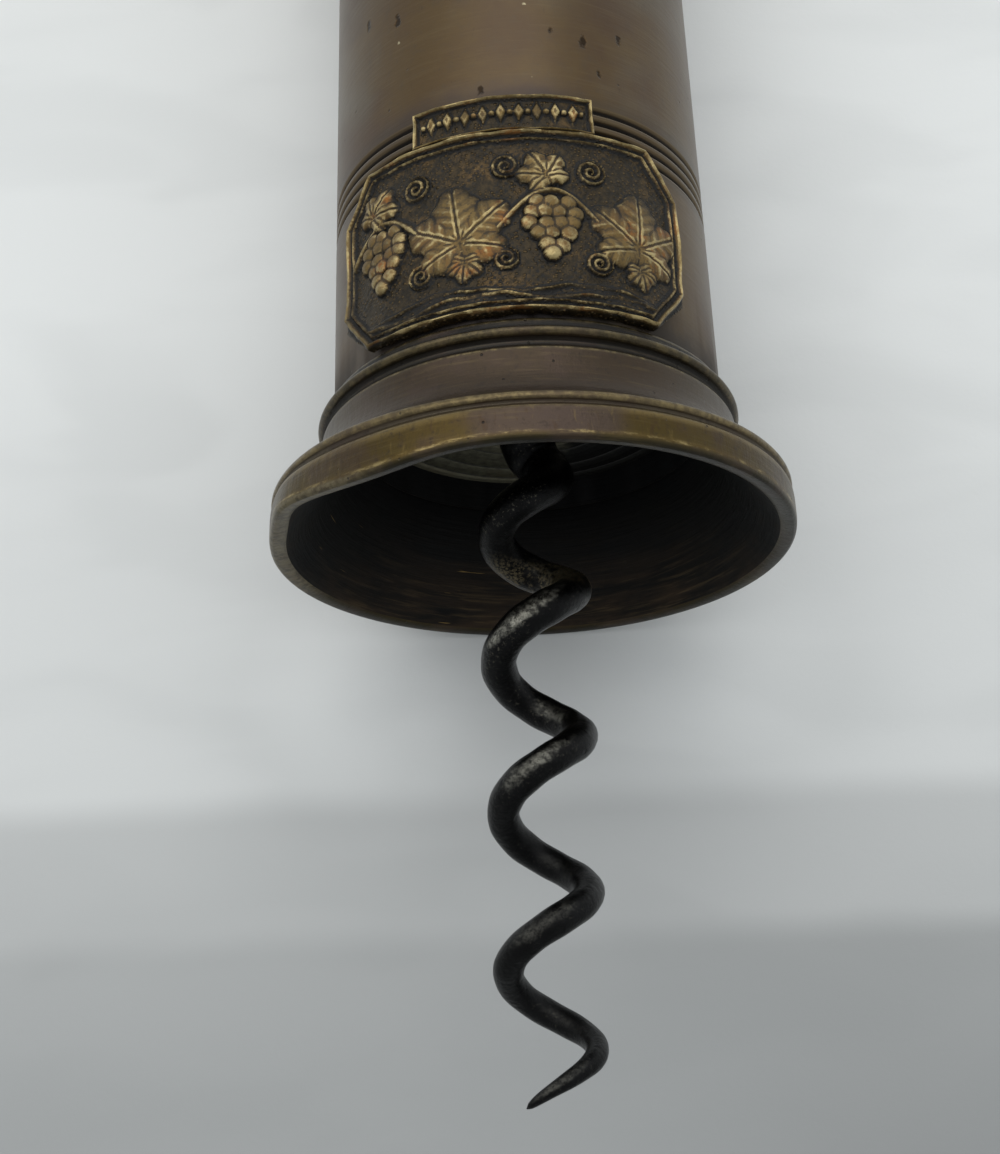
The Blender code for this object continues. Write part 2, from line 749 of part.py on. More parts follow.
def worm_row(height):
    """Centre and radius of the worm's wire at a height above the mouth."""
    wound = min(max((WORM_START - height) / WORM_START, 0), 1)
    coil = WORM_COIL_RADIUS * math.sin(wound * math.pi / 2)
    tight = max((-height - WORM_TIGHT_FROM) / (WORM_REACH - WORM_TIGHT_FROM), 0) ** 1.5
    angle = math.tau * ((height + WORM_RIGHT) / WORM_PITCH - WORM_TIGHT_TURN * tight)
    centre = Vector((coil * math.cos(angle), coil * math.sin(angle), height))
    shank = min(max((height - WORM_START + SHANK_TAPER) / SHANK_TAPER, 0), 1)
    drawn = min(max(-height / WORM_REACH, 0), 1)
    wire = WORM_WIRE * (1 - (1 - WORM_THIN_SHARE) * drawn)
    radius = wire + (SHANK_RADIUS - wire) * shank
    left = min(max((height + WORM_REACH) / WORM_POINT_LENGTH, 0), 1)
    point = WORM_POINT_SHARE + (1 - WORM_POINT_SHARE) * math.sqrt(1 - (1 - left) ** 2)
    return centre, radius * point


def worm(parent):
    name = "worm"
    step = WORM_PITCH / WORM_ROWS_A_TURN
    count = math.ceil((WORM_START + WORM_REACH) / step)
    top = SOCKET_TOP - GAP
    heights = [top, (top + WORM_START) / 2]
    heights += [WORM_START - (WORM_START + WORM_REACH) * i / count for i in range(count + 1)]
    path = bpy.data.curves.new(name, "CURVE")
    path.dimensions = "3D"
    path.bevel_depth = WORM_WIRE
    path.bevel_resolution = 2
    path.use_fill_caps = True
    spline = path.splines.new("POLY")
    spline.points.add(len(heights) - 1)
    for point, height in zip(spline.points, heights):
        centre, radius = worm_row(height)
        point.co = (*centre, 1)
        point.radius = radius / WORM_WIRE
    curve = bpy.data.objects.new(name + "_path", path)
    CUTTERS.objects.link(curve)
    depsgraph = bpy.context.evaluated_depsgraph_get()
    mesh = bpy.data.meshes.new_from_object(curve.evaluated_get(depsgraph))
    bpy.data.objects.remove(curve)
    bm = bmesh.new()
    bm.from_mesh(mesh)
    bmesh.ops.remove_doubles(bm, verts=bm.verts, dist=WELD)
    wire = part(name, finished_mesh(name, bm), BLACK_IRON, parent)
    boolean(wire, worm_pin_bore("worm_bore", parent))
    return wire


def thrust_washer(parent):
    """A loose washer, caught between the handle's ferrule and the spindle's thread."""
    profile = ring_profile(
        FERRULE_RADIUS, SPINDLE_NECK + GAP, THRUST_WASHER_BOTTOM, THRUST_WASHER_TOP
    )
    return turned("thrust_washer", profile, WORN_BRASS, parent, SMALL_STEPS)


def handle_ferrule(parent):
    tang_hole = TANG_RADIUS + GAP
    step = FERRULE_BOTTOM + FERRULE_FLANGE
    profile = [
        (FERRULE_NECK, FERRULE_TOP),
        (FERRULE_NECK, step),
        (FERRULE_RADIUS, step),
        (FERRULE_RADIUS, FERRULE_BOTTOM),
        (tang_hole, FERRULE_BOTTOM),
        (tang_hole, FERRULE_TOP),
    ]
    return turned("handle_ferrule", profile, WORN_BRASS, parent, SMALL_STEPS)


def dome(end_angle):
    """The arc of a handle end, as (distance from the middle, radius), from its tip."""
    points = []
    for step in range(DOME_STEPS + 1):
        angle = end_angle + (math.pi / 2 - end_angle) * step / DOME_STEPS
        along = HANDLE_END_REACH + HANDLE_END_RADIUS * math.cos(angle)
        points.append((along, HANDLE_END_RADIUS * math.sin(angle)))
    return points


def handle_grip(parent):
    """Turned about its own Z, brush end down, and then laid along X."""
    half = [(share * HANDLE_END_REACH, part_share * HANDLE_RADIUS)
            for share, part_share in HANDLE_SHARES]
    brush_dome = dome(math.asin(BRUSH_HOLE / HANDLE_END_RADIUS))
    hole_bottom = BRUSH_HOLE_DEPTH - brush_dome[0][0]
    solid_end = [(radius, along) for along, radius in dome(0) + half]
    brush_end = [(radius, -along) for along, radius in reversed(brush_dome + half)]
    profile = solid_end + brush_end + [(BRUSH_HOLE, hole_bottom), (0, hole_bottom)]
    grip = turned("handle_grip", profile, BONE, parent, HANDLE_STEPS, closed=False)
    grip.location = (0, 0, HANDLE_AXIS)
    grip.rotation_euler = (0, math.pi / 2, 0)
    reach = HANDLE_RADIUS + OVERRUN
    hole = rod_profile(TANG_RADIUS + GAP, HANDLE_AXIS - reach, HANDLE_AXIS + reach)
    boolean(grip, turned_tool("tang_hole", hole, parent, SMALL_STEPS))
    seat = FERRULE_NECK + GAP
    below = rod_profile(seat, HANDLE_AXIS - reach, HANDLE_AXIS - HANDLE_FLAT)
    above = rod_profile(seat, HANDLE_AXIS + HANDLE_FLAT, HANDLE_AXIS + reach)
    boolean(grip, turned_tool("ferrule_seat", below, parent, SMALL_STEPS))
    boolean(grip, turned_tool("rosette_seat", above, parent, SMALL_STEPS))
    return grip


def top_rosette(parent):
    """The brass washer let into the top of the handle."""
    profile = ring_profile(
        FERRULE_NECK, TANG_RADIUS + GAP, ROSETTE_BOTTOM, ROSETTE_TOP, ROSETTE_CHAMFER
    )
    return turned("top_rosette", profile, WORN_BRASS, parent, SMALL_STEPS)


def top_nut(parent):
    """The nut on the tang, drawn up into a flat eye."""
    base_top = NUT_BOTTOM_FACE + NUT_BASE_SHARE * NUT_HEIGHT
    profile = [
        (0, NUT_BOTTOM_FACE + NUT_HEIGHT),
        (NUT_STEM, NUT_BOTTOM_FACE + NUT_HEIGHT),
        (NUT_STEM, base_top + NUT_RADIUS - NUT_STEM),
        (NUT_RADIUS, base_top),
        (NUT_RADIUS, NUT_BOTTOM_FACE),
        (0, NUT_BOTTOM_FACE),
    ]
    nut = turned("top_nut", profile, WORN_BRASS, parent, SMALL_STEPS, closed=False)
    across = (1, 0, 0)
    half = EYE_THICKNESS / 2
    eye = cross_bore("nut_eye", EYE_RADIUS, -half, half, EYE_HEIGHT, across, parent)
    boolean(nut, eye, "UNION")
    hole = RING_WIRE + RING_SLACK
    boolean(nut, cross_bore("eye_hole", hole, -EYE_RADIUS, EYE_RADIUS, EYE_HEIGHT, across, parent))
    tang = rod_profile(TANG_RADIUS + GAP, NUT_BOTTOM_FACE - OVERRUN, TANG_TOP + GAP)
    boolean(nut, turned_tool("tang_socket", tang, parent, SMALL_STEPS))
    return nut


def hanging_ring(parent):
    """A closed wire ring that turns on the wire lying in the eye."""
    profile = []
    for step in range(WIRE_STEPS):
        angle = math.pi / 2 - math.tau * step / WIRE_STEPS
        profile.append((RING_RADIUS + RING_WIRE * math.cos(angle), RING_WIRE * math.sin(angle)))
    ring = turned("hanging_ring", profile, BRIGHT_IRON, parent, SMALL_STEPS)
    ring.location = (0, RING_RADIUS, 0)
    return ring


def brush_plug(parent):
    """The pitch that the bristles are set in, at the bottom of their hole."""
    radius = BRUSH_HOLE - GAP
    profile = rod_profile(radius, GAP, GAP + BRUSH_PLUG)
    return turned("brush_plug", profile, PITCH, parent, SMALL_STEPS, closed=False)


def brush_bristles(parent):
    """Three-sided strands, each drawn up from its own small cell of one backing."""
    radius = BRUSH_HOLE - 2 * GAP
    bm = bmesh.new()
    bmesh.ops.create_grid(bm, x_segments=BRISTLE_CELLS, y_segments=BRISTLE_CELLS, size=radius)
    outside = [face for face in bm.faces if face.calc_center_median().length > radius]
    bmesh.ops.delete(bm, geom=outside, context="FACES")
    bmesh.ops.triangulate(bm, faces=bm.faces)
    rim = [edge for edge in bm.edges if edge.is_boundary]
    cells = bm.faces[:]
    skirt = bmesh.ops.extrude_edge_only(bm, edges=rim)["geom"]
    lower = [item for item in skirt if isinstance(item, bmesh.types.BMVert)]
    bmesh.ops.translate(bm, vec=(0, 0, -BRUSH_SLICE), verts=lower)
    open_edges = [edge for edge in bm.edges if edge.is_boundary]
    bmesh.ops.holes_fill(bm, edges=open_edges, sides=0)
    bmesh.ops.recalc_face_normals(bm, faces=bm.faces)
    bmesh.ops.inset_individual(bm, faces=cells, thickness=BRISTLE_MARGIN)
    tips = bmesh.ops.poke(bm, faces=cells)["verts"]
    for index, tip in enumerate(tips):
        stray = index * GOLDEN_ANGLE
        uneven = 1 - BRISTLE_UNEVEN_SHARE * (math.sin(stray) + 1) / 2
        tip.co.x += tip.co.x * BRISTLE_SPREAD_SHARE + BRISTLE_STRAY * math.cos(stray)
        tip.co.y += tip.co.y * BRISTLE_SPREAD_SHARE + BRISTLE_STRAY * math.sin(stray)
        tip.co.z += BRISTLE_LENGTH * uneven
    mesh = finished_mesh("brush_bristles", bm, face_out=False)
    bristles = part("brush_bristles", mesh, HOG_HAIR, parent)
    bristles.location = (0, 0, 2 * GAP + BRUSH_PLUG + BRUSH_SLICE)
    return bristles


# How the whole lies on the floor
TILT = math.atan2(LIP_RADIUS - CAP_RADIUS, CAP_TOUCH - LIP_TOUCH)
MOUTH_RISE = LIP_RADIUS * math.cos(TILT) + LIP_TOUCH * math.sin(TILT)
HANDLE_RISE = MOUTH_RISE - HANDLE_AXIS * math.sin(TILT)
HANDLE_ROLL = math.asin((HANDLE_RISE - HANDLE_END_RADIUS) / (HANDLE_END_REACH * math.cos(TILT)))


def ring_droop():
    """How far the ring swings down from the axis before its far side meets the floor."""
    eye_rise = MOUTH_RISE - EYE_HEIGHT * math.sin(TILT)
    lean = math.sin(HANDLE_ROLL) * math.cos(TILT)
    reach = (eye_rise - RING_WIRE) / RING_RADIUS
    fall = (reach - lean * lean / reach) / 2
    level = math.cos(HANDLE_ROLL) * math.cos(TILT)
    return math.asin(fall / math.hypot(level, math.sin(TILT))) - math.atan2(math.sin(TILT), level)


def centre_on_floor(assembly):
    """Shift the assembly so that the middle of its box stands over the origin."""
    depsgraph = bpy.context.evaluated_depsgraph_get()
    reached = []
    for obj in PARTS.objects:
        if obj.type != "MESH":
            continue
        shape = obj.evaluated_get(depsgraph)
        mesh = shape.to_mesh()
        reached += [shape.matrix_world @ vert.co for vert in mesh.vertices]
        shape.to_mesh_clear()
    for axis in (0, 1):
        low = min(point[axis] for point in reached)
        high = max(point[axis] for point in reached)
        assembly.location[axis] -= (low + high) / 2
    assembly.location[2] -= min(point[2] for point in reached)


def build():
    assembly = axis_empty("corkscrew", None, (0, 0, MOUTH_RISE), (-math.pi / 2 - TILT, 0, 0))
    for piece in (barrel_tube, bell_foot, badge_plate, barrel_cap, cap_bush):
        piece(assembly)
    cap_screw("cap_screw_right", 1, assembly)
    cap_screw("cap_screw_left", -1, assembly)

    sleeve_axis = axis_empty("sleeve_axis", assembly)
    for piece in (collar_washer, threaded_sleeve, sleeve_collar, collar_pin, cork_disc):
        piece(sleeve_axis)

    spindle_axis = axis_empty("spindle_axis", assembly)
    for piece in (thrust_washer, inner_spindle, worm, worm_pin, handle_ferrule):
        piece(spindle_axis)

    handle_turn = axis_empty("handle_turn", spindle_axis, rotation=(0, 0, HANDLE_ROLL))
    for piece in (handle_grip, top_rosette, top_nut):
        piece(handle_turn)

    brush_mouth = dome(math.asin(BRUSH_HOLE / HANDLE_END_RADIUS))[0][0]
    brush_floor = (BRUSH_HOLE_DEPTH - brush_mouth, 0, HANDLE_AXIS)
    brush_axis = axis_empty("brush_axis", handle_turn, brush_floor, (0, -math.pi / 2, 0))
    for piece in (brush_plug, brush_bristles):
        piece(brush_axis)

    eye = (0, 0, EYE_HEIGHT)
    ring_axis = axis_empty("ring_axis", handle_turn, eye, (math.pi / 2 - ring_droop(), 0, 0))
    hanging_ring(ring_axis)

    centre_on_floor(assembly)


build()
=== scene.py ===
"""A double-screw corkscrew with a bone cross handle, lying on a pale surface."""

import json
import math

import bmesh
import bpy
from mathutils import Matrix, Vector


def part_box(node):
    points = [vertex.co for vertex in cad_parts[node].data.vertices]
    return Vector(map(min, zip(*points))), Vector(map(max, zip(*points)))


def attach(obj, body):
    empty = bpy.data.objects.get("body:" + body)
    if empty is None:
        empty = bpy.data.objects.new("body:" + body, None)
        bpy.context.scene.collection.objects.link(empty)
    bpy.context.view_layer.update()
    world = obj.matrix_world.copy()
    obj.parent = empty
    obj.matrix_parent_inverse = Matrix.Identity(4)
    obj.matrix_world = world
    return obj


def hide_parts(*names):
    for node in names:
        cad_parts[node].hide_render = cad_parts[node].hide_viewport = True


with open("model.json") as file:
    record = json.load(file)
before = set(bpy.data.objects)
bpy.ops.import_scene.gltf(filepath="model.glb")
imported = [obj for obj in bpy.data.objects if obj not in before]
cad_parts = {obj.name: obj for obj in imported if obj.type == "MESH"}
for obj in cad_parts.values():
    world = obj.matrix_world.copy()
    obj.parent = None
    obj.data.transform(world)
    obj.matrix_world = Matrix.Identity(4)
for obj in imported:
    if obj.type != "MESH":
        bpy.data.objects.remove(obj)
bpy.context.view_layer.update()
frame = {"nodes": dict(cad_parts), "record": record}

# Barrel tube: thin drawn brass, browned by handling, with a band of three reeds
# rolled between four grooves. Its lower end is soldered into the bell foot and
# its upper end slips over the cap's spigot.
MM = 0.001
TUBE_RADIUS = 16.0
TUBE_BORE = 14.5
TUBE_TOP = 88.0
TUBE_FOOT = 10.84
REED_BAND = 30.35
REED_PITCH = 1.05
GROOVE_COUNT = 4
GROOVE_WIDTH = 0.2
GROOVE_DEPTH = 0.45
REED_FALL = 0.07
BAND_STEPS = 96
BORE_NEAR = 0.4
TUBE_ROWS = (60.0, 20.0)
SCREW_HEIGHT = 84.0
SCREW_HOLE = 1.5
TURN_STEPS = 160
SAME_PLACE = 0.002
LEAST_SPAN = 0.06
ACROSS = (0, math.pi / 2, 0)
BROWN = (77, 58, 26)
GREY_BROWN = (82, 72, 56)
RED_BROWN = (68, 48, 26)
GRIME = (26, 21, 16)
RUBBED = (150, 130, 92)
TUBE_DENTS = [(-36.2, 43.5, 0.55), (-49.3, 45.5, 0.5), (20.8, 38.6, 0.5), (32.7, 40.0, 0.45),
              (25.2, 35.8, 0.4), (11.0, 39.3, 0.4), (-9.7, 33.7, 0.45), (118, 52.0, 0.6),
              (-142, 61.0, 0.5), (165, 37.0, 0.6), (-80, 70.0, 0.5), (58, 75.0, 0.5)]
DENT_LENGTH = 1.9
TUBE_SPECKS = [(5.1, 34.6, 0.3), (3.9, 42.0, 0.3), (-35.9, 41.3, 0.35), (95, 47.0, 0.3),
               (-112, 56.0, 0.3)]

joints = {joint["name"]: joint for joint in frame["record"]["behaviour"]["joints"]}


def standing(across, up, foot):
    """The place of a piece that is made standing up in mm: its X and Z axes and its foot."""
    across, up = Vector(across).normalized(), Vector(up).normalized()
    turn = Matrix((across, up.cross(across), up)).transposed().to_4x4()
    return Matrix.Translation(foot) @ turn @ Matrix.Scale(MM, 4)


UP = joints["handle_turn"]["axis"]
MOUTH = joints["handle_turn"]["pos_m"]
BARREL = standing((1, 0, 0), UP, MOUTH)


def start(name, add, **sizes):
    """Add a primitive with nothing else selected, and name it."""
    bpy.ops.object.select_all(action="DESELECT")
    add(**sizes)
    piece = bpy.context.object
    piece.name = piece.data.name = name
    return piece


def pick(piece):
    """Select one piece and make it the active one."""
    bpy.ops.object.select_all(action="DESELECT")
    piece.select_set(True)
    bpy.context.view_layer.objects.active = piece


def mode(name):
    """Go into edit mode or back out of it."""
    bpy.ops.object.mode_set(mode=name)


def select_all():
    """Select all of the mesh that is being edited."""
    bpy.ops.mesh.select_all(action="SELECT")


def merge():
    """Make one point of those that share a place."""
    bpy.ops.mesh.remove_doubles(threshold=SAME_PLACE)


def face_out():
    """Turn every face outwards."""
    bpy.ops.mesh.normals_make_consistent(inside=False)


def edit(piece, *steps):
    """Run steps in edit mode with all of the piece selected."""
    bpy.context.view_layer.objects.active = piece
    mode("EDIT")
    bpy.ops.mesh.select_mode(type="VERT")
    select_all()
    for act in steps:
        act()
    mode("OBJECT")


def curve(points, fine=6):
    """A smooth line through the points of a section."""
    ends = [points[0], *points, points[-1]]
    line = []
    for four in zip(ends, ends[1:], ends[2:], ends[3:]):
        for part in range(fine):
            t = part / fine
            line.append([
                (2 * q + (r - p) * t + (2 * p - 5 * q + 4 * r - s) * t**2
                 + (3 * q - p - 3 * r + s) * t**3) / 2
                for p, q, r, s in zip(*four)
            ])
    return line + [list(points[-1])]


def outline(name, points, closed=True):
    """A line through (radius, height) points, with or without its closing edge."""
    piece = start(name, bpy.ops.mesh.primitive_circle_add, vertices=len(points))
    ends = set() if closed else {0, len(points) - 1}
    for vert, (radius, height) in zip(piece.data.vertices, points):
        vert.co = (radius, 0, height)
        vert.select = vert.index in ends
    if not closed:
        for side in piece.data.edges:
            side.select = set(side.vertices) == ends
        mode("EDIT")
        bpy.ops.mesh.delete(type="EDGE_FACE")
        mode("OBJECT")
    return piece


def turned(name, section, steps=TURN_STEPS, solid=False):
    """Turn a section of (radius, height) points about the upright axis, as on a lathe.

    The section is a closed loop; that of a solid starts and ends on the axis.
    """
    piece = outline(name, section, not solid)
    edit(
        piece,
        lambda: bpy.ops.mesh.spin(steps=steps, angle=math.tau, center=(0, 0, 0), axis=(0, 0, 1)),
        select_all, merge, face_out,
    )
    return piece


def ridge(far, width, rise):
    """Height of a rounded ridge, or depth of a groove, at a distance from its middle."""
    return rise * math.exp(-((far / width) ** 2))


def modify(piece, kind, **settings):
    """Apply a modifier."""
    added = piece.modifiers.new(kind.lower(), kind)
    for name, value in settings.items():
        setattr(added, name, value)
    with bpy.context.temp_override(object=piece, active_object=piece):
        bpy.ops.object.modifier_apply(modifier=added.name)


def cut(piece, tool, operation="DIFFERENCE"):
    """Cut a tool from a piece, or join it on."""
    modify(piece, "BOOLEAN", object=tool, operation=operation, solver="EXACT")
    bpy.data.objects.remove(tool)


def drill(piece, radius, depth, middle=(0, 0, 0), turn=(0, 0, 0), sides=32):
    """Drill a round hole, given by its middle and how it is turned from upright."""
    cut(piece, start("drill", bpy.ops.mesh.primitive_cylinder_add, vertices=sides, radius=radius,
                     depth=depth, location=middle, rotation=turn))


def soften(piece, width=0.1, angle=32):
    """Break the sharp edges and shade the rest smooth."""
    modify(piece, "BEVEL", width=width, segments=2, limit_method="ANGLE",
           angle_limit=math.radians(angle))
    pick(piece)
    bpy.ops.object.shade_smooth_by_angle(angle=math.radians(45))


def lay(piece, place, finish=None):
    """Note how sharply each point bends, for the wear, and lay the piece in its place."""
    shape = bmesh.new()
    shape.from_mesh(piece.data)
    edge = shape.verts.layers.float.new("edge")
    for vert in shape.verts:
        bends = []
        for line in vert.link_edges:
            if len(line.link_faces) == 2:
                one, other = (face.calc_center_median() for face in line.link_faces)
                span = max((one - other).length, LEAST_SPAN)
                bends.append(line.calc_face_angle_signed(0) / span)
        bends.sort(key=abs)
        vert[edge] = sum(bends[-2:]) / 2
    shape.to_mesh(piece.data)
    shape.free()
    piece.matrix_world = place @ piece.matrix_world
    pick(piece)
    bpy.ops.object.transform_apply(location=True, rotation=True, scale=True)
    if finish:
        piece.data.materials.clear()
        piece.data.materials.append(finish)


def tone(red, green, blue):
    """A colour from its 0 to 255 screen values."""
    linear = [
        c / 255 / 12.92 if c <= 10 else ((c / 255 + 0.055) / 1.055) ** 2.4
        for c in (red, green, blue)
    ]
    return (*linear, 1.0)


class Wire:
    """A socket in a material's tree. Sums and products of wires add Math nodes."""

    def __init__(self, tree, socket=None):
        self.tree, self.socket = tree, socket

    def put(self, socket, value):
        """Give a socket a link or a value."""
        if isinstance(value, Wire):
            self.tree.links.new(value.socket, socket)
        elif value is not None:
            socket.default_value = value

    def node(self, kind, settings=None, sockets=None, output=0):
        """Any node: its settings, the values or links of its sockets, and the output used."""
        made = self.tree.nodes.new(kind)
        for name, value in (settings or {}).items():
            if name == "stops":
                ramp = made.color_ramp.elements
                while len(ramp) < len(value):
                    ramp.new(0.5)
                for stop, (position, colour) in zip(ramp, value):
                    stop.position, stop.color = position, colour
            else:
                setattr(made, name, value)
        for name, value in (sockets or {}).items():
            self.put(made.inputs[name], value)
        return Wire(self.tree, made.outputs[output])

    def math(self, operation, *others):
        """A Math node on this wire, and on others after it."""
        sockets = dict(enumerate((self, *others)))
        return self.node("ShaderNodeMath", {"operation": operation}, sockets)

    def __add__(self, other):
        return self.math("ADD", other)

    def __sub__(self, other):
        return self.math("SUBTRACT", other)

    def __rsub__(self, other):
        return self * -1.0 + other

    def __mul__(self, other):
        return self.math("MULTIPLY", other)

    __radd__, __rmul__ = __add__, __mul__

    def __truediv__(self, other):
        return self.math("DIVIDE", other)

    def __pow__(self, other):
        return self.math("POWER", other)


def new_finish(name, place):
    """A material and the wire of its coordinates, in mm, as the piece was made."""
    material = bpy.data.materials.new(name)
    material.use_nodes = True
    wire = Wire(material.node_tree)
    shift, turn, size = place.inverted().decompose()
    world = wire.node("ShaderNodeTexCoord", output="Object")
    sockets = {"Vector": world, "Location": shift, "Rotation": turn.to_euler(), "Scale": size}
    return material, wire.node("ShaderNodeMapping", {}, sockets)


def axes(spot):
    """The three coordinates of a vector wire."""
    parts = spot.node("ShaderNodeSeparateXYZ", {}, {0: spot})
    node = parts.socket.node
    return [Wire(spot.tree, node.outputs[axis]) for axis in range(3)]


def off_axis(spot):
    """Distance from the upright axis."""
    x, y, z = axes(spot)
    return (x * x + y * y) ** 0.5


def vector(operation, one, other, output=0):
    """A Vector Math node on a wire and a vector."""
    return one.node("ShaderNodeVectorMath", {"operation": operation}, {0: one, 1: other}, output)


def attribute(spot, name):
    """The wire of a value that the mesh holds at each point."""
    return spot.node("ShaderNodeAttribute", {"attribute_name": name}, output="Fac")


def step(value, low, high, bottom=0.0, top=1.0):
    """A soft step from bottom to top as the value goes from low to high."""
    sockets = dict(enumerate((value, low, high, bottom, top)))
    return value.node("ShaderNodeMapRange", {"interpolation_type": "SMOOTHSTEP"}, sockets)


def fall(value, low, high):
    """A soft step down from 1 to 0."""
    return step(value, low, high, 1.0, 0.0)


def noise(spot, size, detail=4.0, rough=0.55, stretch=(1, 1, 1), warp=0.0):
    """Noise with features of about that size in mm, drawn out by the stretch."""
    drawn = vector("MULTIPLY", spot, [1 / share for share in stretch])
    sockets = {"Vector": drawn, "Scale": 1 / size, "Detail": detail, "Roughness": rough,
               "Distortion": warp}
    return spot.node("ShaderNodeTexNoise", {}, sockets)


def cells(spot, size, randomness=1.0):
    """Distance from the middles of cells of about that size in mm."""
    sockets = {"Vector": spot, "Scale": 1 / size, "Randomness": randomness}
    return spot.node("ShaderNodeTexVoronoi", {}, sockets, "Distance")


def mix(share, one, other):
    """One colour blended into another; each is a wire or 0 to 255 screen values."""
    one, other = (tone(*paint) if isinstance(paint, tuple) else paint for paint in (one, other))
    settings = {"data_type": "RGBA", "clamp_factor": True}
    return share.node("ShaderNodeMix", settings, {0: share, 6: one, 7: other}, 2)


def coats(colour, *layers):
    """Coats of colour laid over a first one, each given by its share and its tone."""
    for share, light in layers:
        colour = mix(share, colour, light)
    return colour


def bump(height, depth):
    """Relief of that depth in mm."""
    return height.node("ShaderNodeBump", {}, {"Distance": depth * MM, "Height": height})


def shade(material, spot, **values):
    """Feed the shader's sockets; a name's underscores are spaces."""
    shader = material.node_tree.nodes["Principled BSDF"]
    for name, value in values.items():
        spot.put(shader.inputs[name.replace("_", " ")], value)


def bent(spot):
    """How sharply the surface bends: masks of its outer edges and of its hollows."""
    edge = attribute(spot, "edge")
    return step(edge, 0.25, 2.2), step(edge * -1.0, 0.2, 1.6)


def nearest(spot, marks, fade, length=1.0):
    """A mask of small marks with ragged borders on the tube, some longer than wide.

    Each has its angle in degrees from the badge's middle line, its height and its radius.
    """
    ragged = noise(spot, 0.5, 3.0) * 0.7
    squeezed = vector("MULTIPLY", spot, (1, 1, 1 / length))
    found = None
    for angle, height, radius in marks:
        turn = math.radians(angle)
        place = (TUBE_RADIUS * math.sin(turn), -TUBE_RADIUS * math.cos(turn), height / length)
        far = vector("DISTANCE", squeezed, place, "Value")
        mark = fall(far + ragged, radius, radius + fade)
        found = mark if found is None else found.math("MAXIMUM", mark)
    return found


grooves = [REED_BAND + REED_PITCH * (i - (GROOVE_COUNT - 1) / 2) for i in range(GROOVE_COUNT)]
band = [grooves[0] - REED_PITCH / 2, grooves[-1] + REED_PITCH / 2]
section = []
for i in range(BAND_STEPS + 1):
    height = band[1] + (band[0] - band[1]) * i / BAND_STEPS
    off = min(abs(height - groove) for groove in grooves)
    radius = TUBE_RADIUS - ridge(off, GROOVE_WIDTH, GROOVE_DEPTH)
    if grooves[0] < height < grooves[-1]:
        radius -= REED_FALL * (1 - 2 * off / REED_PITCH) ** 2
    section.append((radius, height))
section = [(TUBE_RADIUS, TUBE_TOP), (TUBE_RADIUS, TUBE_ROWS[0]), *section,
           (TUBE_RADIUS, TUBE_ROWS[1]), (TUBE_RADIUS, TUBE_FOOT), (TUBE_BORE, TUBE_FOOT),
           (TUBE_BORE, TUBE_TOP)]
tube = turned("tube", section)
screw_hole = (SCREW_HOLE, 2 * TUBE_RADIUS + 4, (0, 0, SCREW_HEIGHT), ACROSS)
drill(tube, *screw_hole)
soften(tube)

browned, spot = new_finish("browned_brass", BARREL)
edges = bent(spot)[0]
x, y, z = axes(spot)
patches = noise(spot, 9.0, 5.0, 0.6)
mottle = noise(spot, 0.9, 6.0, 0.7)
lines = noise(spot, 0.28, 3.0, 0.6, stretch=(14, 14, 1))
scratches = step(noise(spot, 0.3, 3.0, 0.6, stretch=(1, 1, 3), warp=0.6), 0.66, 0.72)
pits = fall(cells(spot, 1.7), 0.03, 0.10) * step(noise(spot, 3.0, 2.0), 0.52, 0.6)
dents = nearest(spot, TUBE_DENTS, 0.22, DENT_LENGTH)
near_foot = fall(z, 12.4, 17.0) * step(noise(spot, 3.0), 0.3, 0.6, 0.5, 1.0)
# Handling wear and painted sheen: a lighter strip along the top, where the light falls.
wear_and_top_sheen = fall(x.math("ABSOLUTE"), 1.0, 8.0) * fall(y, -13.0, -9.0)
stain = fall(z, 32.5, 35.5) * step(x, -13.0, -8.0) * fall(x, 2.0, 7.0)
stain = stain * fall(y, -10.0, -6.0) * step(patches, 0.3, 0.55, 0.4, 1.0)
in_band = step(z, band[0] - 1.2, band[0], 0.0, 1.0) * fall(z, band[1], band[1] + 1.6)
sunk = step(off_axis(spot), TUBE_RADIUS - 0.3, TUBE_RADIUS - 0.12, 0.95, 0.0)
dark = sunk.math("MAXIMUM", near_foot * 0.8).math("MAXIMUM", pits * 0.7)
colour = coats(
    mix(step(patches, 0.38, 0.66), BROWN, RED_BROWN),
    (step(noise(spot, 14.0, 3.0, warp=0.4), 0.5, 0.68) * 0.7, GREY_BROWN),
    (step(mottle, 0.5, 0.72) * 0.45, (66, 54, 38)),
    (step(lines, 0.5, 0.75) * 0.1, (116, 100, 70)),
    (scratches * 0.35, (52, 38, 22)),
    (wear_and_top_sheen * 0.22, (100, 88, 70)),
    (stain * 0.75, (54, 45, 47)),
    (in_band * 0.5, (52, 42, 30)),
    (edges * 0.15, RUBBED),
    (dark, GRIME),
    (dents * 0.85, (30, 20, 9)),
    (nearest(spot, TUBE_SPECKS, 0.2) * 0.8, (196, 186, 150)),
)
relief = mottle * 0.25 + lines * 0.35 - pits * 1.0 - dents * 1.2
shade(
    browned, spot, Base_Color=colour, Metallic=0.64 - dark * 0.4 + dents * 0.3,
    Coat_Weight=0.05, Coat_Roughness=0.28,
    Roughness=0.3 + patches * 0.14 + dark * 0.3 - edges * 0.08, Normal=bump(relief, 0.05),
)
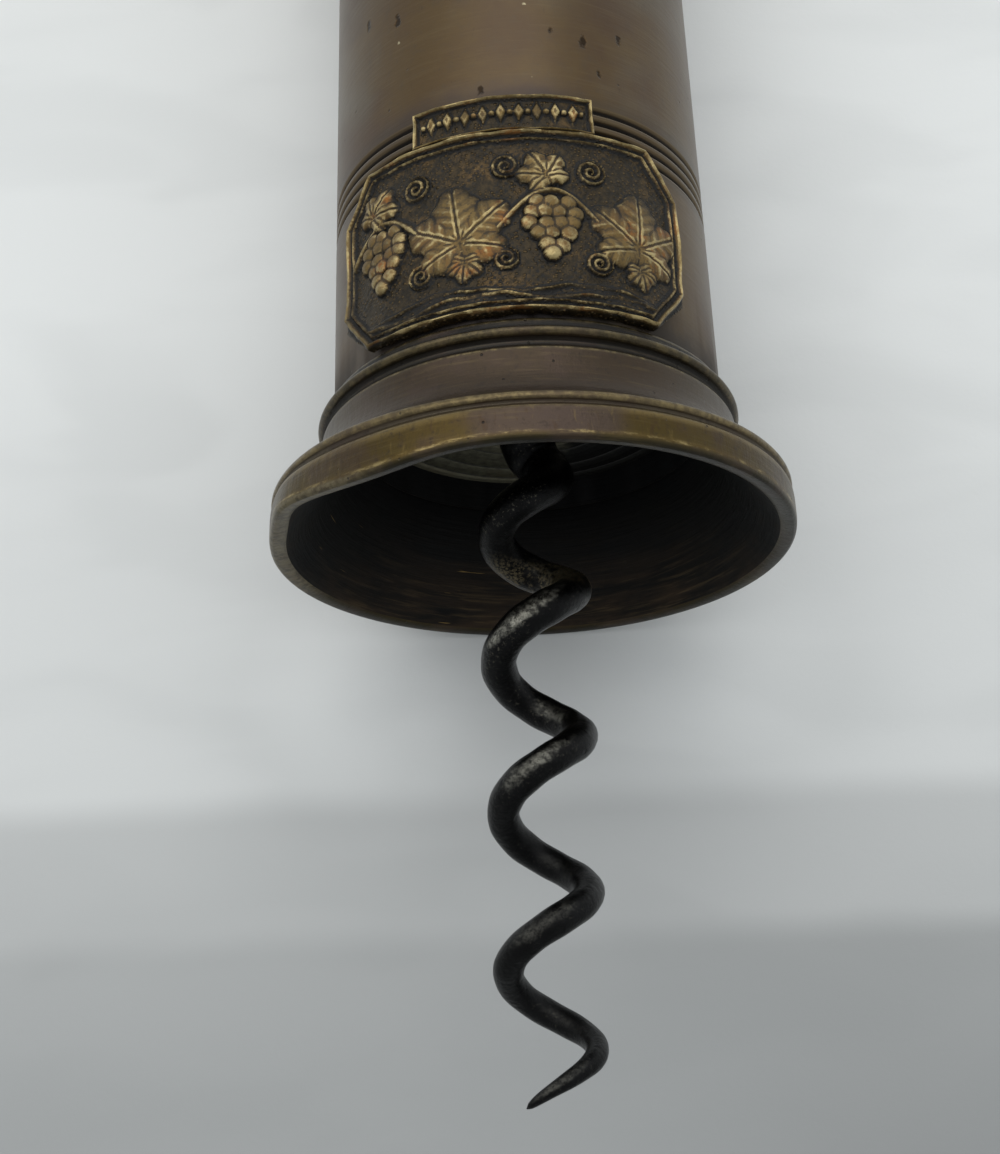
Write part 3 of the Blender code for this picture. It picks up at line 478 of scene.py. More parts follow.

# Inside finish of the bell and bore: dark grime and tool rings, with painted shade deeper in.
bell_grime_and_shade, spot = new_finish("bell_grime_and_shade", BARREL)
x, y, z = axes(spot)
rings = noise(spot, 0.3, 4.0, 0.65, stretch=(22, 22, 1), warp=0.3)
patches = noise(spot, 3.0, 5.0, 0.65)
# Painted light: the lower inside wall, where light falls in, is lighter and shows its streaks.
lit_low_wall = step(y, 2.0, 15.0) * step(z, 0.5, 7.5, 1.0, 0.05)
broad = noise(spot, 1.1, 4.0, 0.6, stretch=(9, 9, 1), warp=0.5)
# Painted shade: lighter patches near the mouth, darker deeper in.
lighter_near_mouth = step(patches, 0.4, 0.7) * step(z, 0.0, 5.0, 1.0, 0.1)
bright = step(noise(spot, 0.16, 2.0, 0.5, stretch=(30, 30, 1), warp=0.2), 0.72, 0.78)
bright = bright * step(noise(spot, 6.0, 2.0), 0.52, 0.64) * fall(z, 4.0, 7.5)
# Painted shade: black in the throat, where no light reaches.
throat_shade = step(z, 8.0, 10.5)
colour = coats(
    mix(lighter_near_mouth, (10, 10, 9), (34, 28, 21)),
    (step(broad, 0.35, 0.7) * lit_low_wall, (54, 42, 30)),
    (step(rings, 0.5, 0.7) * lit_low_wall * 0.6, (84, 70, 48)),
    (bright * 0.9, (190, 158, 96)),
    (throat_shade * 0.9, (2, 2, 2)),
)
shade(
    bell_grime_and_shade, spot, Base_Color=colour, Metallic=0.4 + bright * 0.4 - throat_shade * 0.4,
    Roughness=0.55 + patches * 0.25 - bright * 0.25 + throat_shade * 0.2, Specular_IOR_Level=0.25,
    Normal=bump(rings * 1.2 + patches * 0.8 + bright, 0.07),
)
lay(tube, BARREL, browned)
# The bore's faces take the dark inside finish, with its painted shade.
tube.data.materials.append(bell_grime_and_shade)
for face in tube.data.polygons:
    here = BARREL.inverted() @ face.center
    within = math.hypot(here.x, here.y) < TUBE_BORE + BORE_NEAR and here.z < TUBE_ROWS[0]
    face.material_index = int(within)
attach(tube, "barrel")
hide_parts("barrel_tube")

# Bell foot: turned from cast brass, with a bead under the badge, a hollow neck, a
# fine ridge and a heavy lip. Its rim stands on the bottle's neck; the inside is
# left rough from the tool, and its dark finish paints the shade that fills it.
FOOT_HEIGHT = 12.3
FOOT_TOP = [(16.3, 12.3), (16.46, 12.1), (16.5, 11.6), (16.7, 11.3)]
FOOT_BEAD = [(17.06, 11.2), (17.26, 11.0), (17.28, 10.76), (17.1, 10.52), (16.8, 10.42)]
FOOT_NECK = [(16.56, 10.25), (16.56, 9.95), (16.76, 9.72), (16.96, 9.5), (16.96, 8.9),
             (16.96, 8.1), (17.12, 7.1), (17.6, 6.1), (18.5, 5.25), (19.5, 4.7), (20.3, 4.42)]
FOOT_RIDGE = [(20.46, 4.36), (20.78, 4.2), (20.9, 3.98), (20.86, 3.74), (20.64, 3.58)]
FOOT_LIP = [(20.56, 3.42), (20.7, 3.24), (20.88, 3.08), (20.97, 2.7), (20.99, 2.1), (20.99, 1.5),
            (20.98, 1.0), (20.9, 0.66), (20.7, 0.5)]
FOOT_RIM = [(20.4, 0.52), (20.0, 0.62)]
MOUTH_RADIUS = 19.66
MOUTH_HEIGHT = 0.8
BELL_DEPTH = 10.8
BELL_POWER = 1.6
BELL_STEPS = 24
WALL_NEAR = 0.06
RIM_NEAR = 0.02
SOCKET_RADIUS = 16.04
FOOT_TILT = 0.021
DROP_ANGLE = -34.0
RIM_DROP = (16.0, 0.7)
BULGE_ANGLE = -60.0
RIM_BULGE = (9.0, 0.6)
TILT_FROM = 8.5
TILT_REACH = 4.5
RIM_FROM = 4.0
RIM_REACH = 3.0
# Tones by height: the brass's own bands, with painted light and shade: the rim dark in shade, a
# painted highlight on the lip's upper rounding, painted shadow beside the badge.
FOOT_TONES_AND_LIGHT = [
    (0.5, (36, 33, 24)), (0.62, (38, 32, 12)), (0.8, (50, 40, 10)), (1.05, (80, 64, 28)),
    (1.4, (68, 55, 22)), (2.5, (67, 53, 20)), (2.9, (102, 85, 48)), (3.15, (82, 70, 48)),
    (3.4, (78, 69, 54)), (3.66, (74, 63, 46)), (3.95, (74, 62, 38)), (4.25, (60, 49, 34)),
    (4.5, (46, 36, 25)), (5.1, (52, 40, 26)), (6.0, (53, 41, 28)), (9.3, (56, 44, 30)),
    (9.7, (48, 44, 35)), (10.35, (48, 43, 34)), (10.55, (46, 39, 26)), (10.95, (52, 45, 31)),
    (11.3, (34, 29, 21)), (11.7, (20, 17, 13)),
]
FOOT_PATCH = (-4.4, 7.6)


def bell_wall(height):
    """Radius of the bell's inside at a height above the mouth."""
    up = min(max((height - MOUTH_HEIGHT) / (BELL_DEPTH - MOUTH_HEIGHT), 0), 1)
    return TUBE_BORE + (MOUTH_RADIUS - TUBE_BORE) * (1 - up) ** BELL_POWER


inside = [MOUTH_HEIGHT + (BELL_DEPTH - MOUTH_HEIGHT) * i / BELL_STEPS
          for i in range(BELL_STEPS + 1)]
section = curve(FOOT_TOP, 3) + curve(FOOT_BEAD, 5) + curve(FOOT_NECK) + curve(FOOT_RIDGE, 4)
section += curve(FOOT_LIP) + FOOT_RIM + [(bell_wall(height), height) for height in inside]
section += [(SOCKET_RADIUS, BELL_DEPTH), (SOCKET_RADIUS, FOOT_HEIGHT)]
foot = turned("foot", section, steps=240)
soften(foot, 0.07)
# Faces inside the bell take the dark inside finish, with its painted shade.
for face in foot.data.polygons:
    x, y, z = face.center
    within = math.hypot(x, y) < bell_wall(z) + WALL_NEAR and z > MOUTH_HEIGHT + RIM_NEAR
    face.material_index = int(within)
turned_height = foot.data.attributes.new("turned_height", "FLOAT", "POINT")
for vert, mark in zip(foot.data.vertices, turned_height.data):
    x, y, z = vert.co
    mark.value = z
    angle = math.degrees(math.atan2(x, -y))
    low = min(max((TILT_FROM - z) / TILT_REACH, 0), 1)
    near_rim = min(max((RIM_FROM - z) / RIM_REACH, 0), 1)
    swell = 1 + near_rim * ridge(angle - BULGE_ANGLE, *RIM_BULGE) / math.hypot(x, y)
    drop = near_rim * ridge(angle - DROP_ANGLE, *RIM_DROP)
    vert.co = (x * swell, y * swell, z + FOOT_TILT * y * low - drop)

foot_brass, spot = new_finish("foot_brass", BARREL)
edges, hollows = bent(spot)
x, y, z = axes(spot)
wander = noise(spot, 2.2, 4.0, 0.6)
z = attribute(spot, "turned_height")
ramp = {"stops": [(height / FOOT_HEIGHT, tone(*light)) for height, light in FOOT_TONES_AND_LIGHT]}
colour = spot.node("ShaderNodeValToRGB", ramp, {0: (z + (wander - 0.5) * 0.2) / FOOT_HEIGHT})
patches = noise(spot, 5.5, 5.0, 0.65)
left, right = FOOT_PATCH
shift = (wander - 0.5) * 1.6
on_lip = fall(z + shift * 0.1, 2.9, 3.2) * step(z + shift * 0.2, 0.8, 1.2)
front = step(x + shift * 1.5, left - 1.0, left + 1.8)
front = front * fall(x + shift, right - 2.5, right)
front = front * fall(y, -14.0, -8.0) * on_lip
mottle = noise(spot, 0.7, 6.0, 0.72)
streaks = noise(spot, 0.5, 4.0, 0.65, stretch=(1, 1, 4), warp=0.4)
lines = noise(spot, 0.22, 3.0, 0.6, stretch=(16, 16, 1))
worn = edges * step(z, 0.8, 1.1) * step(z, 10.2, 10.4, 1.0, 0.6)
worn = worn * step(mottle, 0.4, 0.66, 0.1, 0.6)
# Edge wear and a painted highlight: a thin bright line round the lip's lower rounding.
nose_wear_and_glint = step(z, 0.85, 0.98) * fall(z, 1.0, 1.25)
nose_wear_and_glint = nose_wear_and_glint * step(noise(spot, 0.8, 6.0, 0.75, stretch=(3.5, 3.5, 1)), 0.46, 0.62)
worn = worn.math("MAXIMUM", nose_wear_and_glint)
pits = fall(cells(spot, 1.1), 0.03, 0.12) * step(noise(spot, 2.5, 2.0), 0.5, 0.6)
dark = (hollows * step(z, 5.0, 8.0, 0.2, 0.6)).math("MAXIMUM", pits * 0.75)
lit_rim = step(x, -9.0, -15.0) * fall(z, 0.85, 1.1) * fall(y, 4.0, 10.0)
# Painted sheen: greyer flanks on the neck, where it reflects the bright room.
sides = step(x.math("ABSOLUTE"), 8.0, 16.0) * step(z, 4.6, 5.4) * fall(z, 9.3, 9.8)
colour = coats(
    colour,
    (step(patches, 0.46, 0.62) * 0.5, (64, 50, 42)),
    (front * 0.8, (66, 55, 50)),
    (step(mottle, 0.52, 0.7) * 0.6, (40, 32, 25)),
    (step(streaks, 0.56, 0.7) * on_lip * 0.5, (58, 42, 26)),
    (fall(streaks, 0.3, 0.42) * on_lip * 0.2, (126, 106, 60)),
    (step(lines, 0.5, 0.8) * 0.2, (112, 96, 62)),
    (worn * 0.75, (150, 132, 88)),
    (lit_rim * step(mottle, 0.6, 0.4, 0.3, 0.9), (104, 94, 70)),
    (sides * 0.35, (104, 98, 88)),
    (dark, (18, 15, 12)),
)
relief = mottle * 0.35 + lines * 0.35 + wander * 0.6 - pits * 1.0 + streaks * 0.4
shade(
    foot_brass, spot, Base_Color=colour, Metallic=0.66 + on_lip * 0.14 - dark * 0.4,
    Roughness=0.28 + patches * 0.18 + dark * 0.3 - worn * 0.08, Normal=bump(relief, 0.07),
)

lay(foot, BARREL)
for finish in (foot_brass, bell_grime_and_shade):
    foot.data.materials.append(finish)
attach(foot, "barrel")
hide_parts("bell_foot")

# Badge: a cast brass plate with chased relief, eight-sided with a tab on top, bent
# round the tube and soldered on. Its ground is stippled and black with age, the
# relief is rubbed golden, and its lower left corner has sprung.
BADGE_WIDTH = 29.0
BADGE_HEIGHT = 16.2
BADGE_CORNER = (3.0, 3.8)
BADGE_FOOT = 12.6
TAB_WIDTH = 14.2
TAB_HEIGHT = 3.3
BADGE_SEAT = 16.3
BADGE_BASE = 0.42
BADGE_TURN = math.radians(-3.9)
BADGE_CELL = 0.1
BADGE_BACK_STRIPS = 14
BADGE_STRIP = 2.0
BADGE_BACK = -1.0
CUT_NEAR = 0.001
OUTLINE_NEAR = 0.12
TAB_TOP_NEAR = 0.05
SPRUNG = (-14.5, 0.0)
SPRUNG_LIFT = 0.6
SPRUNG_REACH = 6.0
BORDER = [(0.26, 0.22, 0.56), (0.9, 0.15, 0.36)]
BORDER_REACH = 1.0
TAB_BORDER = (0.22, 0.19, 0.48)
TAB_GROUND = 0.08
VINE_MIDDLE = 8.1
VINE_RISE = 2.5
VINE_PITCH = 13.5
VINE_CREST = -10.0
VINE_SHARE = 0.92
VINE_STEPS = 60
VINE_WIDTH = 0.28
VINE_HEIGHT = 0.44
LEAVES = [(-3.3, 6.3, 5.4, 97), (10.1, 6.3, 5.2, 86), (-10.9, 11.6, 2.7, 52), (3.2, 11.7, 2.7, 118),
          (-3.0, 4.7, 1.9, 262), (10.2, 4.5, 1.8, 285)]
LEAF_LOBES = [(0.0, 1.0, 0.36), (0.92, 0.9, 0.32), (-0.92, 0.9, 0.32), (1.9, 0.66, 0.28),
              (-1.9, 0.66, 0.28)]
LEAF_RISE = 0.6
LEAF_VEIN = (0.1, 0.14)
BUNCHES = [(-10.0, 9.5), (3.5, 9.5)]
GRAPE_ROWS = [3, 4, 4, 3, 2, 1]
GRAPE_PITCH = 1.06
GRAPE = 0.68
GRAPE_SEAT = 0.16
GRAPE_RISE = 0.48
TENDRILS = [(-6.9, 12.5, 0.85, 0.4), (0.2, 12.9, 0.8, 2.6), (6.6, 12.6, 0.85, 1.2),
            (-6.5, 4.4, 0.75, 3.9), (0.0, 4.6, 0.7, 0.9), (6.9, 4.4, 0.75, 2.2)]
TENDRIL_LINE = (0.17, 0.36)
TENDRIL_COILS = 1.6
FURROWS = [(1.5, 0.2, 0.4), (2.1, 0.17, 0.34)]
LOZENGES = 9
LOZENGE_PITCH = 1.36
LOZENGE_WIDTH = 0.56
LOZENGE_LENGTH = 1.12
LOZENGE_RISE = 0.46
BEAD = 0.27
BEAD_SEAT = 0.14
BEAD_RISE = 0.28
BEAD_REACH = 6.3
RELIEF_WORN = (0.84, 0.16)
GROUND_WAVES = (0.03, 0.03)
RELIEF_WAVES = [(0.035, 1.3, 1.1), (0.02, 3.1, -2.7)]
EDGE_WAVES = [(0.05, 1.1, 0.9), (0.03, 3.3, -2.1)]


def dome(far, radius, rise):
    """Height of a rounded knob at a distance from its middle."""
    return rise * math.sqrt(max(1 - (far / radius) ** 2, 0))


def waver(x, y, waves):
    """A small unevenness: the sum of waves given as (height, across, up)."""
    return sum(high * math.sin(x * across + y * up) for high, across, up in waves)


def off_line(x, y, line):
    """Distance from a line of points."""
    best = 9.0
    for (x0, y0), (x1, y1) in zip(line, line[1:]):
        if min(x0, x1) - 1 < x < max(x0, x1) + 1 and min(y0, y1) - 1 < y < max(y0, y1) + 1:
            dx, dy = x1 - x0, y1 - y0
            t = min(max(((x - x0) * dx + (y - y0) * dy) / (dx * dx + dy * dy), 0), 1)
            best = min(best, math.hypot(x - x0 - t * dx, y - y0 - t * dy))
    return best


def leaf(x, y, size, heading):
    """A five-lobed vine leaf with worn rounded lobes and sunk veins."""
    turn = math.radians(heading)
    along = (x * math.cos(turn) + y * math.sin(turn)) / size
    across = (y * math.cos(turn) - x * math.sin(turn)) / size
    rise = 0.0
    for angle, long, wide in LEAF_LOBES:
        out = along * math.cos(angle) + across * math.sin(angle)
        off = across * math.cos(angle) - along * math.sin(angle)
        wide *= 1 + 0.1 * math.sin(out * 21)
        inside = 1 - ((out - long * 0.46) / (long * 0.54)) ** 2 - (off / wide) ** 2
        if inside > 0:
            lobe = LEAF_RISE * inside ** 0.4 * (1.05 - 0.2 * out)
            lobe -= 0.03 * math.sin((out * 1.6 - abs(off)) * size * 4)
            rise = max(rise, lobe - ridge(off * size, *LEAF_VEIN) * (out > 0.06))
    return rise


def tendril(x, y, size, phase):
    """A curled tendril."""
    far = math.hypot(x, y)
    if far > size + 0.3:
        return 0.0
    turn = (math.atan2(y, x) + phase) % math.tau / math.tau
    pitch = size / TENDRIL_COILS
    off = (far / pitch - turn + 0.5) % 1 - 0.5
    return ridge(off * pitch, *TENDRIL_LINE) * (far > 0.12)


def border_distance(x, y):
    """How far inside the badge's outline a point lies."""
    half = BADGE_WIDTH / 2
    wide, high = BADGE_CORNER
    slope = math.hypot(wide, high)
    low = min(y, half - abs(x), ((half - abs(x)) * high + (y - high) * wide) / slope)
    top = ((half - abs(x)) * high + (BADGE_HEIGHT - y - high) * wide) / slope
    return min(low, top, BADGE_HEIGHT - y)


vine = []
for i in range(VINE_STEPS + 1):
    along = BADGE_WIDTH * (i / VINE_STEPS - 0.5) * VINE_SHARE
    wave = math.cos((along - VINE_CREST) / VINE_PITCH * math.tau)
    vine.append((along, VINE_MIDDLE + VINE_RISE * wave))
grapes = [
    (across + (i - (count - 1) / 2) * GRAPE_PITCH + 0.14 * math.sin(row * 4 + i * 2 + across),
     top - row * GRAPE_PITCH * 0.88 + 0.12 * math.sin(i * 5 + row * 3),
     0.06 * math.sin(row * 7 + i * 4 + across))
    for across, top in BUNCHES for row, count in enumerate(GRAPE_ROWS) for i in range(count)
]


def relief_height(x, y):
    """Height in mm of the badge's face over its sunk ground."""
    left, varied = RELIEF_WORN
    wear = left + varied * math.sin(x * 0.9 + 1.3) * math.sin(y * 0.8 + x * 0.5)
    ragged = waver(x, y, RELIEF_WAVES)
    if y > BADGE_HEIGHT - 0.01:
        up = y - BADGE_HEIGHT
        inner = min(TAB_WIDTH / 2 - abs(x), TAB_HEIGHT - up, up + 0.25) + ragged
        inset, width, high = TAB_BORDER
        rise = max(ridge(inner - inset, width, high), TAB_GROUND)
        up -= TAB_HEIGHT / 2 + 0.02
        place = min(max(round(x / LOZENGE_PITCH), -(LOZENGES // 2)), LOZENGES // 2)
        aside = abs(x - place * LOZENGE_PITCH)
        off = aside / LOZENGE_WIDTH + abs(up) / LOZENGE_LENGTH
        if off < 1:
            rise = max(rise, LOZENGE_RISE * min(2.2 * (1 - off), 1) * (0.85 + ragged * 4))
        gap = math.hypot(LOZENGE_PITCH / 2 - aside, up)
        if gap < BEAD and abs(x) < BEAD_REACH:
            rise = max(rise, BEAD_SEAT + dome(gap, BEAD, BEAD_RISE))
        return rise
    inner = border_distance(x, y) + ragged
    rise = max(ridge(inner - off, width, high) for off, width, high in BORDER) * wear
    if inner < BORDER_REACH:
        return rise
    fine, broad = GROUND_WAVES
    ground = fine * math.sin(x * 9.1) * math.sin(y * 8.7) + broad * math.sin(x * 2.1 - y)
    rise = max(rise, ground)
    for up, width, high in FURROWS:
        line = y - up - 0.3 * math.sin(x * 0.55 + up * 2) - ragged * 2
        rise = max(rise, ridge(line, width, high) * (0.6 + 0.4 * math.sin(x * 1.1 + up * 5)))
    rise = max(rise, ridge(off_line(x, y, vine), VINE_WIDTH + ragged, VINE_HEIGHT))
    for across, up, size, heading in LEAVES:
        if abs(x - across) < size and abs(y - up) < size:
            rise = max(rise, leaf(x - across, y - up, size, heading))
    for across, up, size, phase in TENDRILS:
        rise = max(rise, tendril(x - across, y - up, size, phase))
    for across, up, proud in grapes:
        far = math.hypot(x - across, y - up)
        if far < GRAPE:
            rise = max(rise, GRAPE_SEAT + proud + dome(far, GRAPE, GRAPE_RISE))
    return rise * wear


cells_across = round(BADGE_WIDTH / BADGE_CELL)
cells_up = round((BADGE_HEIGHT + TAB_HEIGHT) / BADGE_CELL)
badge = start("badge", bpy.ops.mesh.primitive_grid_add, x_subdivisions=cells_across,
              y_subdivisions=cells_up, size=1)
for vert in badge.data.vertices:
    vert.co.x = round(vert.co.x * cells_across) * BADGE_CELL
    vert.co.y = round((vert.co.y + 0.5) * cells_up) * BADGE_CELL
mode("EDIT")
bpy.ops.mesh.select_mode(type="FACE")
mode("OBJECT")
for face in badge.data.polygons:
    face.select = face.center.y > BADGE_HEIGHT and abs(face.center.x) > TAB_WIDTH / 2
mode("EDIT")
bpy.ops.mesh.delete(type="FACE")
wide, high = BADGE_CORNER
for side in (-1, 1):
    for end, height in ((-1, 0), (1, BADGE_HEIGHT)):
        select_all()
        bpy.ops.mesh.bisect(
            plane_co=(side * (BADGE_WIDTH / 2 - wide), height, 0),
            plane_no=(side * high, end * wide, 0), clear_outer=True, threshold=CUT_NEAR,
        )
select_all()
bpy.ops.mesh.region_to_loop()
bpy.ops.mesh.extrude_region_move(TRANSFORM_OT_translate={"value": (0, 0, BADGE_BACK)})
bpy.ops.mesh.edge_face_add()
for strip in range(1, BADGE_BACK_STRIPS + 1):
    across = (strip - (BADGE_BACK_STRIPS + 1) / 2) * BADGE_STRIP
    bpy.ops.mesh.bisect(plane_co=(across, 0, 0), plane_no=(1, 0, 0), threshold=CUT_NEAR)
    bpy.ops.mesh.select_all(action="DESELECT")
    mode("OBJECT")
    for face in badge.data.polygons:
        face.select = face.center.z < 0.99 * BADGE_BACK
    mode("EDIT")
select_all()
face_out()
mode("OBJECT")
height_mark = badge.data.attributes.new("relief", "FLOAT", "POINT")
for vert, mark in zip(badge.data.vertices, height_mark.data):
    x, y, z = vert.co
    back = z < BADGE_BACK / 2
    rise = 0 if back else relief_height(x, y)
    ragged = waver(x, y, EDGE_WAVES)
    mark.value = rise
    lift = math.hypot(x - SPRUNG[0], y - SPRUNG[1]) / SPRUNG_REACH
    lift = SPRUNG_LIFT * max(1 - lift, 0) ** 1.5
    at_side = border_distance(x, min(y, BADGE_HEIGHT / 2)) < OUTLINE_NEAR
    if at_side or y > BADGE_HEIGHT + TAB_HEIGHT - TAB_TOP_NEAR:
        y += ragged
        x += ragged * 0.6
    radius = BADGE_SEAT + lift + (0 if back else BADGE_BASE + rise)
    turn = x / BADGE_SEAT + BADGE_TURN
    vert.co = (radius * math.sin(turn), -radius * math.cos(turn), BADGE_FOOT + y)
bpy.ops.object.shade_smooth_by_angle(angle=math.radians(50))

chased, spot = new_finish("chased_brass", BARREL)
edges, hollows = bent(spot)
x, y, z = axes(spot)
rise = attribute(spot, "relief")
stipple = cells(spot, 0.34, randomness=0.85)
patches = noise(spot, 4.0, 5.0, 0.65)
mottle = noise(spot, 0.45, 5.0, 0.7)
amber = noise(spot, 2.6, 4.0, 0.6)
gold = mix(step(patches, 0.42, 0.64), (106, 86, 48), (104, 78, 42))
gold = mix(step(amber, 0.54, 0.66) * 0.8, gold, (132, 82, 32))
gold = mix(step(mottle, 0.46, 0.62) * 0.7, gold, (58, 48, 33))
worn = step(rise + edges * 0.35 + (patches - 0.5) * 0.9 + (mottle - 0.5) * 1.1, 0.5, 0.95)
low_left = step(x + z * 0.6, -4.5, 1.5, 0.7, 0.0)
dark = hollows * step(rise, 0.0, 0.4, 1.0, 0.6)
colour = coats(
    mix(step(mottle, 0.35, 0.7), (30, 25, 15), (58, 47, 28)),
    (step(patches, 0.5, 0.66) * step(mottle, 0.36, 0.62) * 0.7, (88, 68, 38)),
    (fall(stipple, 0.12, 0.36) * 0.5, (112, 90, 54)),
    (step(rise + (mottle - 0.5) * 0.3, 0.14, 0.42), gold),
    (worn * step(patches, 0.36, 0.6, 0.45, 0.85), (178, 160, 112)),
    (low_left * step(mottle, 0.36, 0.6, 0.4, 1.0), (58, 50, 36)),
    (dark, (14, 12, 9)),
)
stippled = fall(stipple, 0.0, 0.5) * step(rise, 0.08, 0.3, 1.0, 0.15)
shade(
    chased, spot, Base_Color=colour, Metallic=0.68 - dark * 0.4,
    Roughness=0.38 - worn * 0.14 + dark * 0.25 + mottle * 0.12,
    Normal=bump(stippled + mottle * 0.8, 0.08),
)
lay(badge, BARREL, chased)
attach(badge, "barrel")
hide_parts("badge_plate")

# Cap and its two locking screws: a turned brass cap whose spigot fills the top of
# the tube. The tool lies on its bead, and the screws hold it through the tube.
CAP_SEAT = 88.3
CAP_TOP = 95.0
SPIGOT_RADIUS = 14.2
SPIGOT_END = 80.3
CAP_BORE = 12.5
CAP_FACE = [(16.4, 88.3), (16.42, 88.9), (16.6, 89.1), (17.2, 89.25), (17.52, 89.6),
            (17.6, 90.2), (17.6, 90.8), (17.5, 91.3), (17.2, 91.65), (16.6, 91.85), (16.2, 92.1)]
CAP_NECK = [(15.75, 92.35), (15.55, 92.8), (15.62, 93.2), (15.85, 93.5), (15.86, 93.75),
            (15.6, 94.3), (15.1, 94.75), (14.6, 95.0)]

section = curve(CAP_FACE) + curve(CAP_NECK)
section += [(CAP_BORE, CAP_TOP), (CAP_BORE, SPIGOT_END), (SPIGOT_RADIUS, SPIGOT_END),
            (SPIGOT_RADIUS, CAP_SEAT)]
cap = turned("cap", section)
drill(cap, *screw_hole)
soften(cap, 0.08)


def worn_brass(name, place, light, dark_tone, rubbed_and_glint=RUBBED):
    """Turned brass, darkened in its hollows and rubbed on its edges."""
    material, spot = new_finish(name, place)
    edges, hollows = bent(spot)
    patches = noise(spot, 5.0, 5.0, 0.62)
    mottle = noise(spot, 0.7, 6.0, 0.7)
    lines = noise(spot, 0.2, 3.0, 0.6, stretch=(16, 16, 1))
    dark = hollows * 0.85
    colour = coats(
        mix(step(patches, 0.4, 0.66), light, dark_tone),
        (step(mottle, 0.52, 0.75) * 0.45, (56, 46, 34)),
        (step(lines, 0.5, 0.8) * 0.3, rubbed_and_glint),
        (edges * step(mottle, 0.3, 0.6, 0.35, 1.0) * 0.8, rubbed_and_glint),
        (dark, GRIME),
    )
    shade(
        material, spot, Base_Color=colour, Metallic=0.78 - dark * 0.5,
        Roughness=0.36 + patches * 0.2 + dark * 0.2 - edges * 0.1,
        Normal=bump(mottle * 0.35 + lines * 0.5, 0.05),
    )
    return material


cap_brass = worn_brass("cap_brass", BARREL, (116, 100, 70), (86, 71, 54))
lay(cap, BARREL, cap_brass)
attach(cap, "barrel")
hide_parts("barrel_cap")


def thread_wear(far, root, crest, rubbed_and_glint):
    """Coats for a thread, at a distance from its axis: bright crests and greasy roots."""
    return [(step(far, crest - 0.4, crest - 0.1) * 0.55, rubbed_and_glint),
            (fall(far, root + 0.05, root + 0.5) * 0.75, GRIME)]


def filed_iron(name, place, light=(128, 124, 116), rust=(92, 66, 44), thread=None):
    """Filed iron, greyed by age and brown with old rust in patches."""
    material, spot = new_finish(name, place)
    edges, hollows = bent(spot)
    patches = noise(spot, 3.0, 5.0, 0.65)
    mottle = noise(spot, 0.5, 6.0, 0.72)
    files = noise(spot, 0.12, 2.0, 0.5, stretch=(10, 1, 10), warp=0.3)
    colour = coats(
        mix(step(mottle, 0.35, 0.72), light, (70, 66, 60)),
        (step(patches, 0.5, 0.68) * 0.7, rust),
        (edges * 0.6, (176, 172, 162)),
        *(thread_wear(off_axis(spot), *thread, (168, 164, 152)) if thread else ()),
        (hollows * 0.8, (30, 26, 22)),
    )
    shade(
        material, spot, Base_Color=colour, Metallic=0.85 - hollows * 0.4,
        Roughness=(0.3 if thread else 0.38) + mottle * 0.25 - edges * 0.1,
        Normal=bump(mottle * (0.2 if thread else 0.6) + files * 0.4, 0.04),
    )
    return material


def refinish(name, finish):
    """Give a CAD node that is shown as it is a finish all over."""
    piece = frame["nodes"][name].data
    piece.materials.clear()
    piece.materials.append(finish)
    for face in piece.polygons:
        face.material_index = 0


barrel_iron = filed_iron("barrel_iron", BARREL)
for name in ("cap_screw_left", "cap_screw_right"):
    refinish(name, barrel_iron)

# Bush: the left-handed nut that the sleeve climbs through, turned from tinned
# brass and pressed into the cap until its rim stands on the cap's top.
BUSH_RADIUS = 12.2
BUSH_RIM = 13.5
BUSH_RIM_FOOT = 95.3
BUSH_RIM_EDGE = 0.35
BUSH_TOP = 96.4
THREAD_CREST = 10.45
THREAD_ROOT = 9.25
THREAD_ROOM = 0.35
SLEEVE_LEAD = 6.0
THREAD_FORM = [(0.0, 0.0), (0.27, 0.0), (0.31, 0.06), (0.48, 0.94), (0.52, 1.0), (0.78, 1.0),
               (0.82, 0.94), (0.96, 0.06)]
THREAD_SIDES = 72
TAP_OVERRUN = 2.0


def screw(name, root, crest, lead, starts, hand, low, high):
    """A solid screw between two heights, its thread form drawn round by a Screw modifier."""
    pitch = lead / starts
    first = (math.floor(low / lead) - 1) * lead
    turns = math.ceil((high - first) / pitch) + starts
    line = [(root + out * (crest - root), first + (turn + up) * pitch)
            for turn in range(turns) for up, out in THREAD_FORM]
    piece = outline(name, line, closed=False)
    modify(piece, "SCREW", axis="Z", angle=hand * math.tau, screw_offset=lead,
           steps=THREAD_SIDES, render_steps=THREAD_SIDES)
    trim = {"plane_no": (0, 0, 1), "use_fill": True}
    edit(
        piece,
        merge,
        lambda: bpy.ops.mesh.bisect(plane_co=(0, 0, low), clear_inner=True, **trim),
        select_all,
        lambda: bpy.ops.mesh.bisect(plane_co=(0, 0, high), clear_outer=True, **trim),
        select_all, face_out,
    )
    return piece


bush = turned(
    "bush",
    [(0, BUSH_TOP), (BUSH_RIM - BUSH_RIM_EDGE, BUSH_TOP), (BUSH_RIM, BUSH_TOP - BUSH_RIM_EDGE),
     (BUSH_RIM, BUSH_RIM_FOOT), (BUSH_RADIUS, BUSH_RIM_FOOT), (BUSH_RADIUS, SPIGOT_END),
     (0, SPIGOT_END)],
    solid=True,
)
tap = screw("tap", THREAD_ROOT + THREAD_ROOM, THREAD_CREST + THREAD_ROOM, SLEEVE_LEAD, 1, -1,
            SPIGOT_END - TAP_OVERRUN, BUSH_TOP + TAP_OVERRUN)
cut(bush, tap)
soften(bush, 0.05, angle=60)


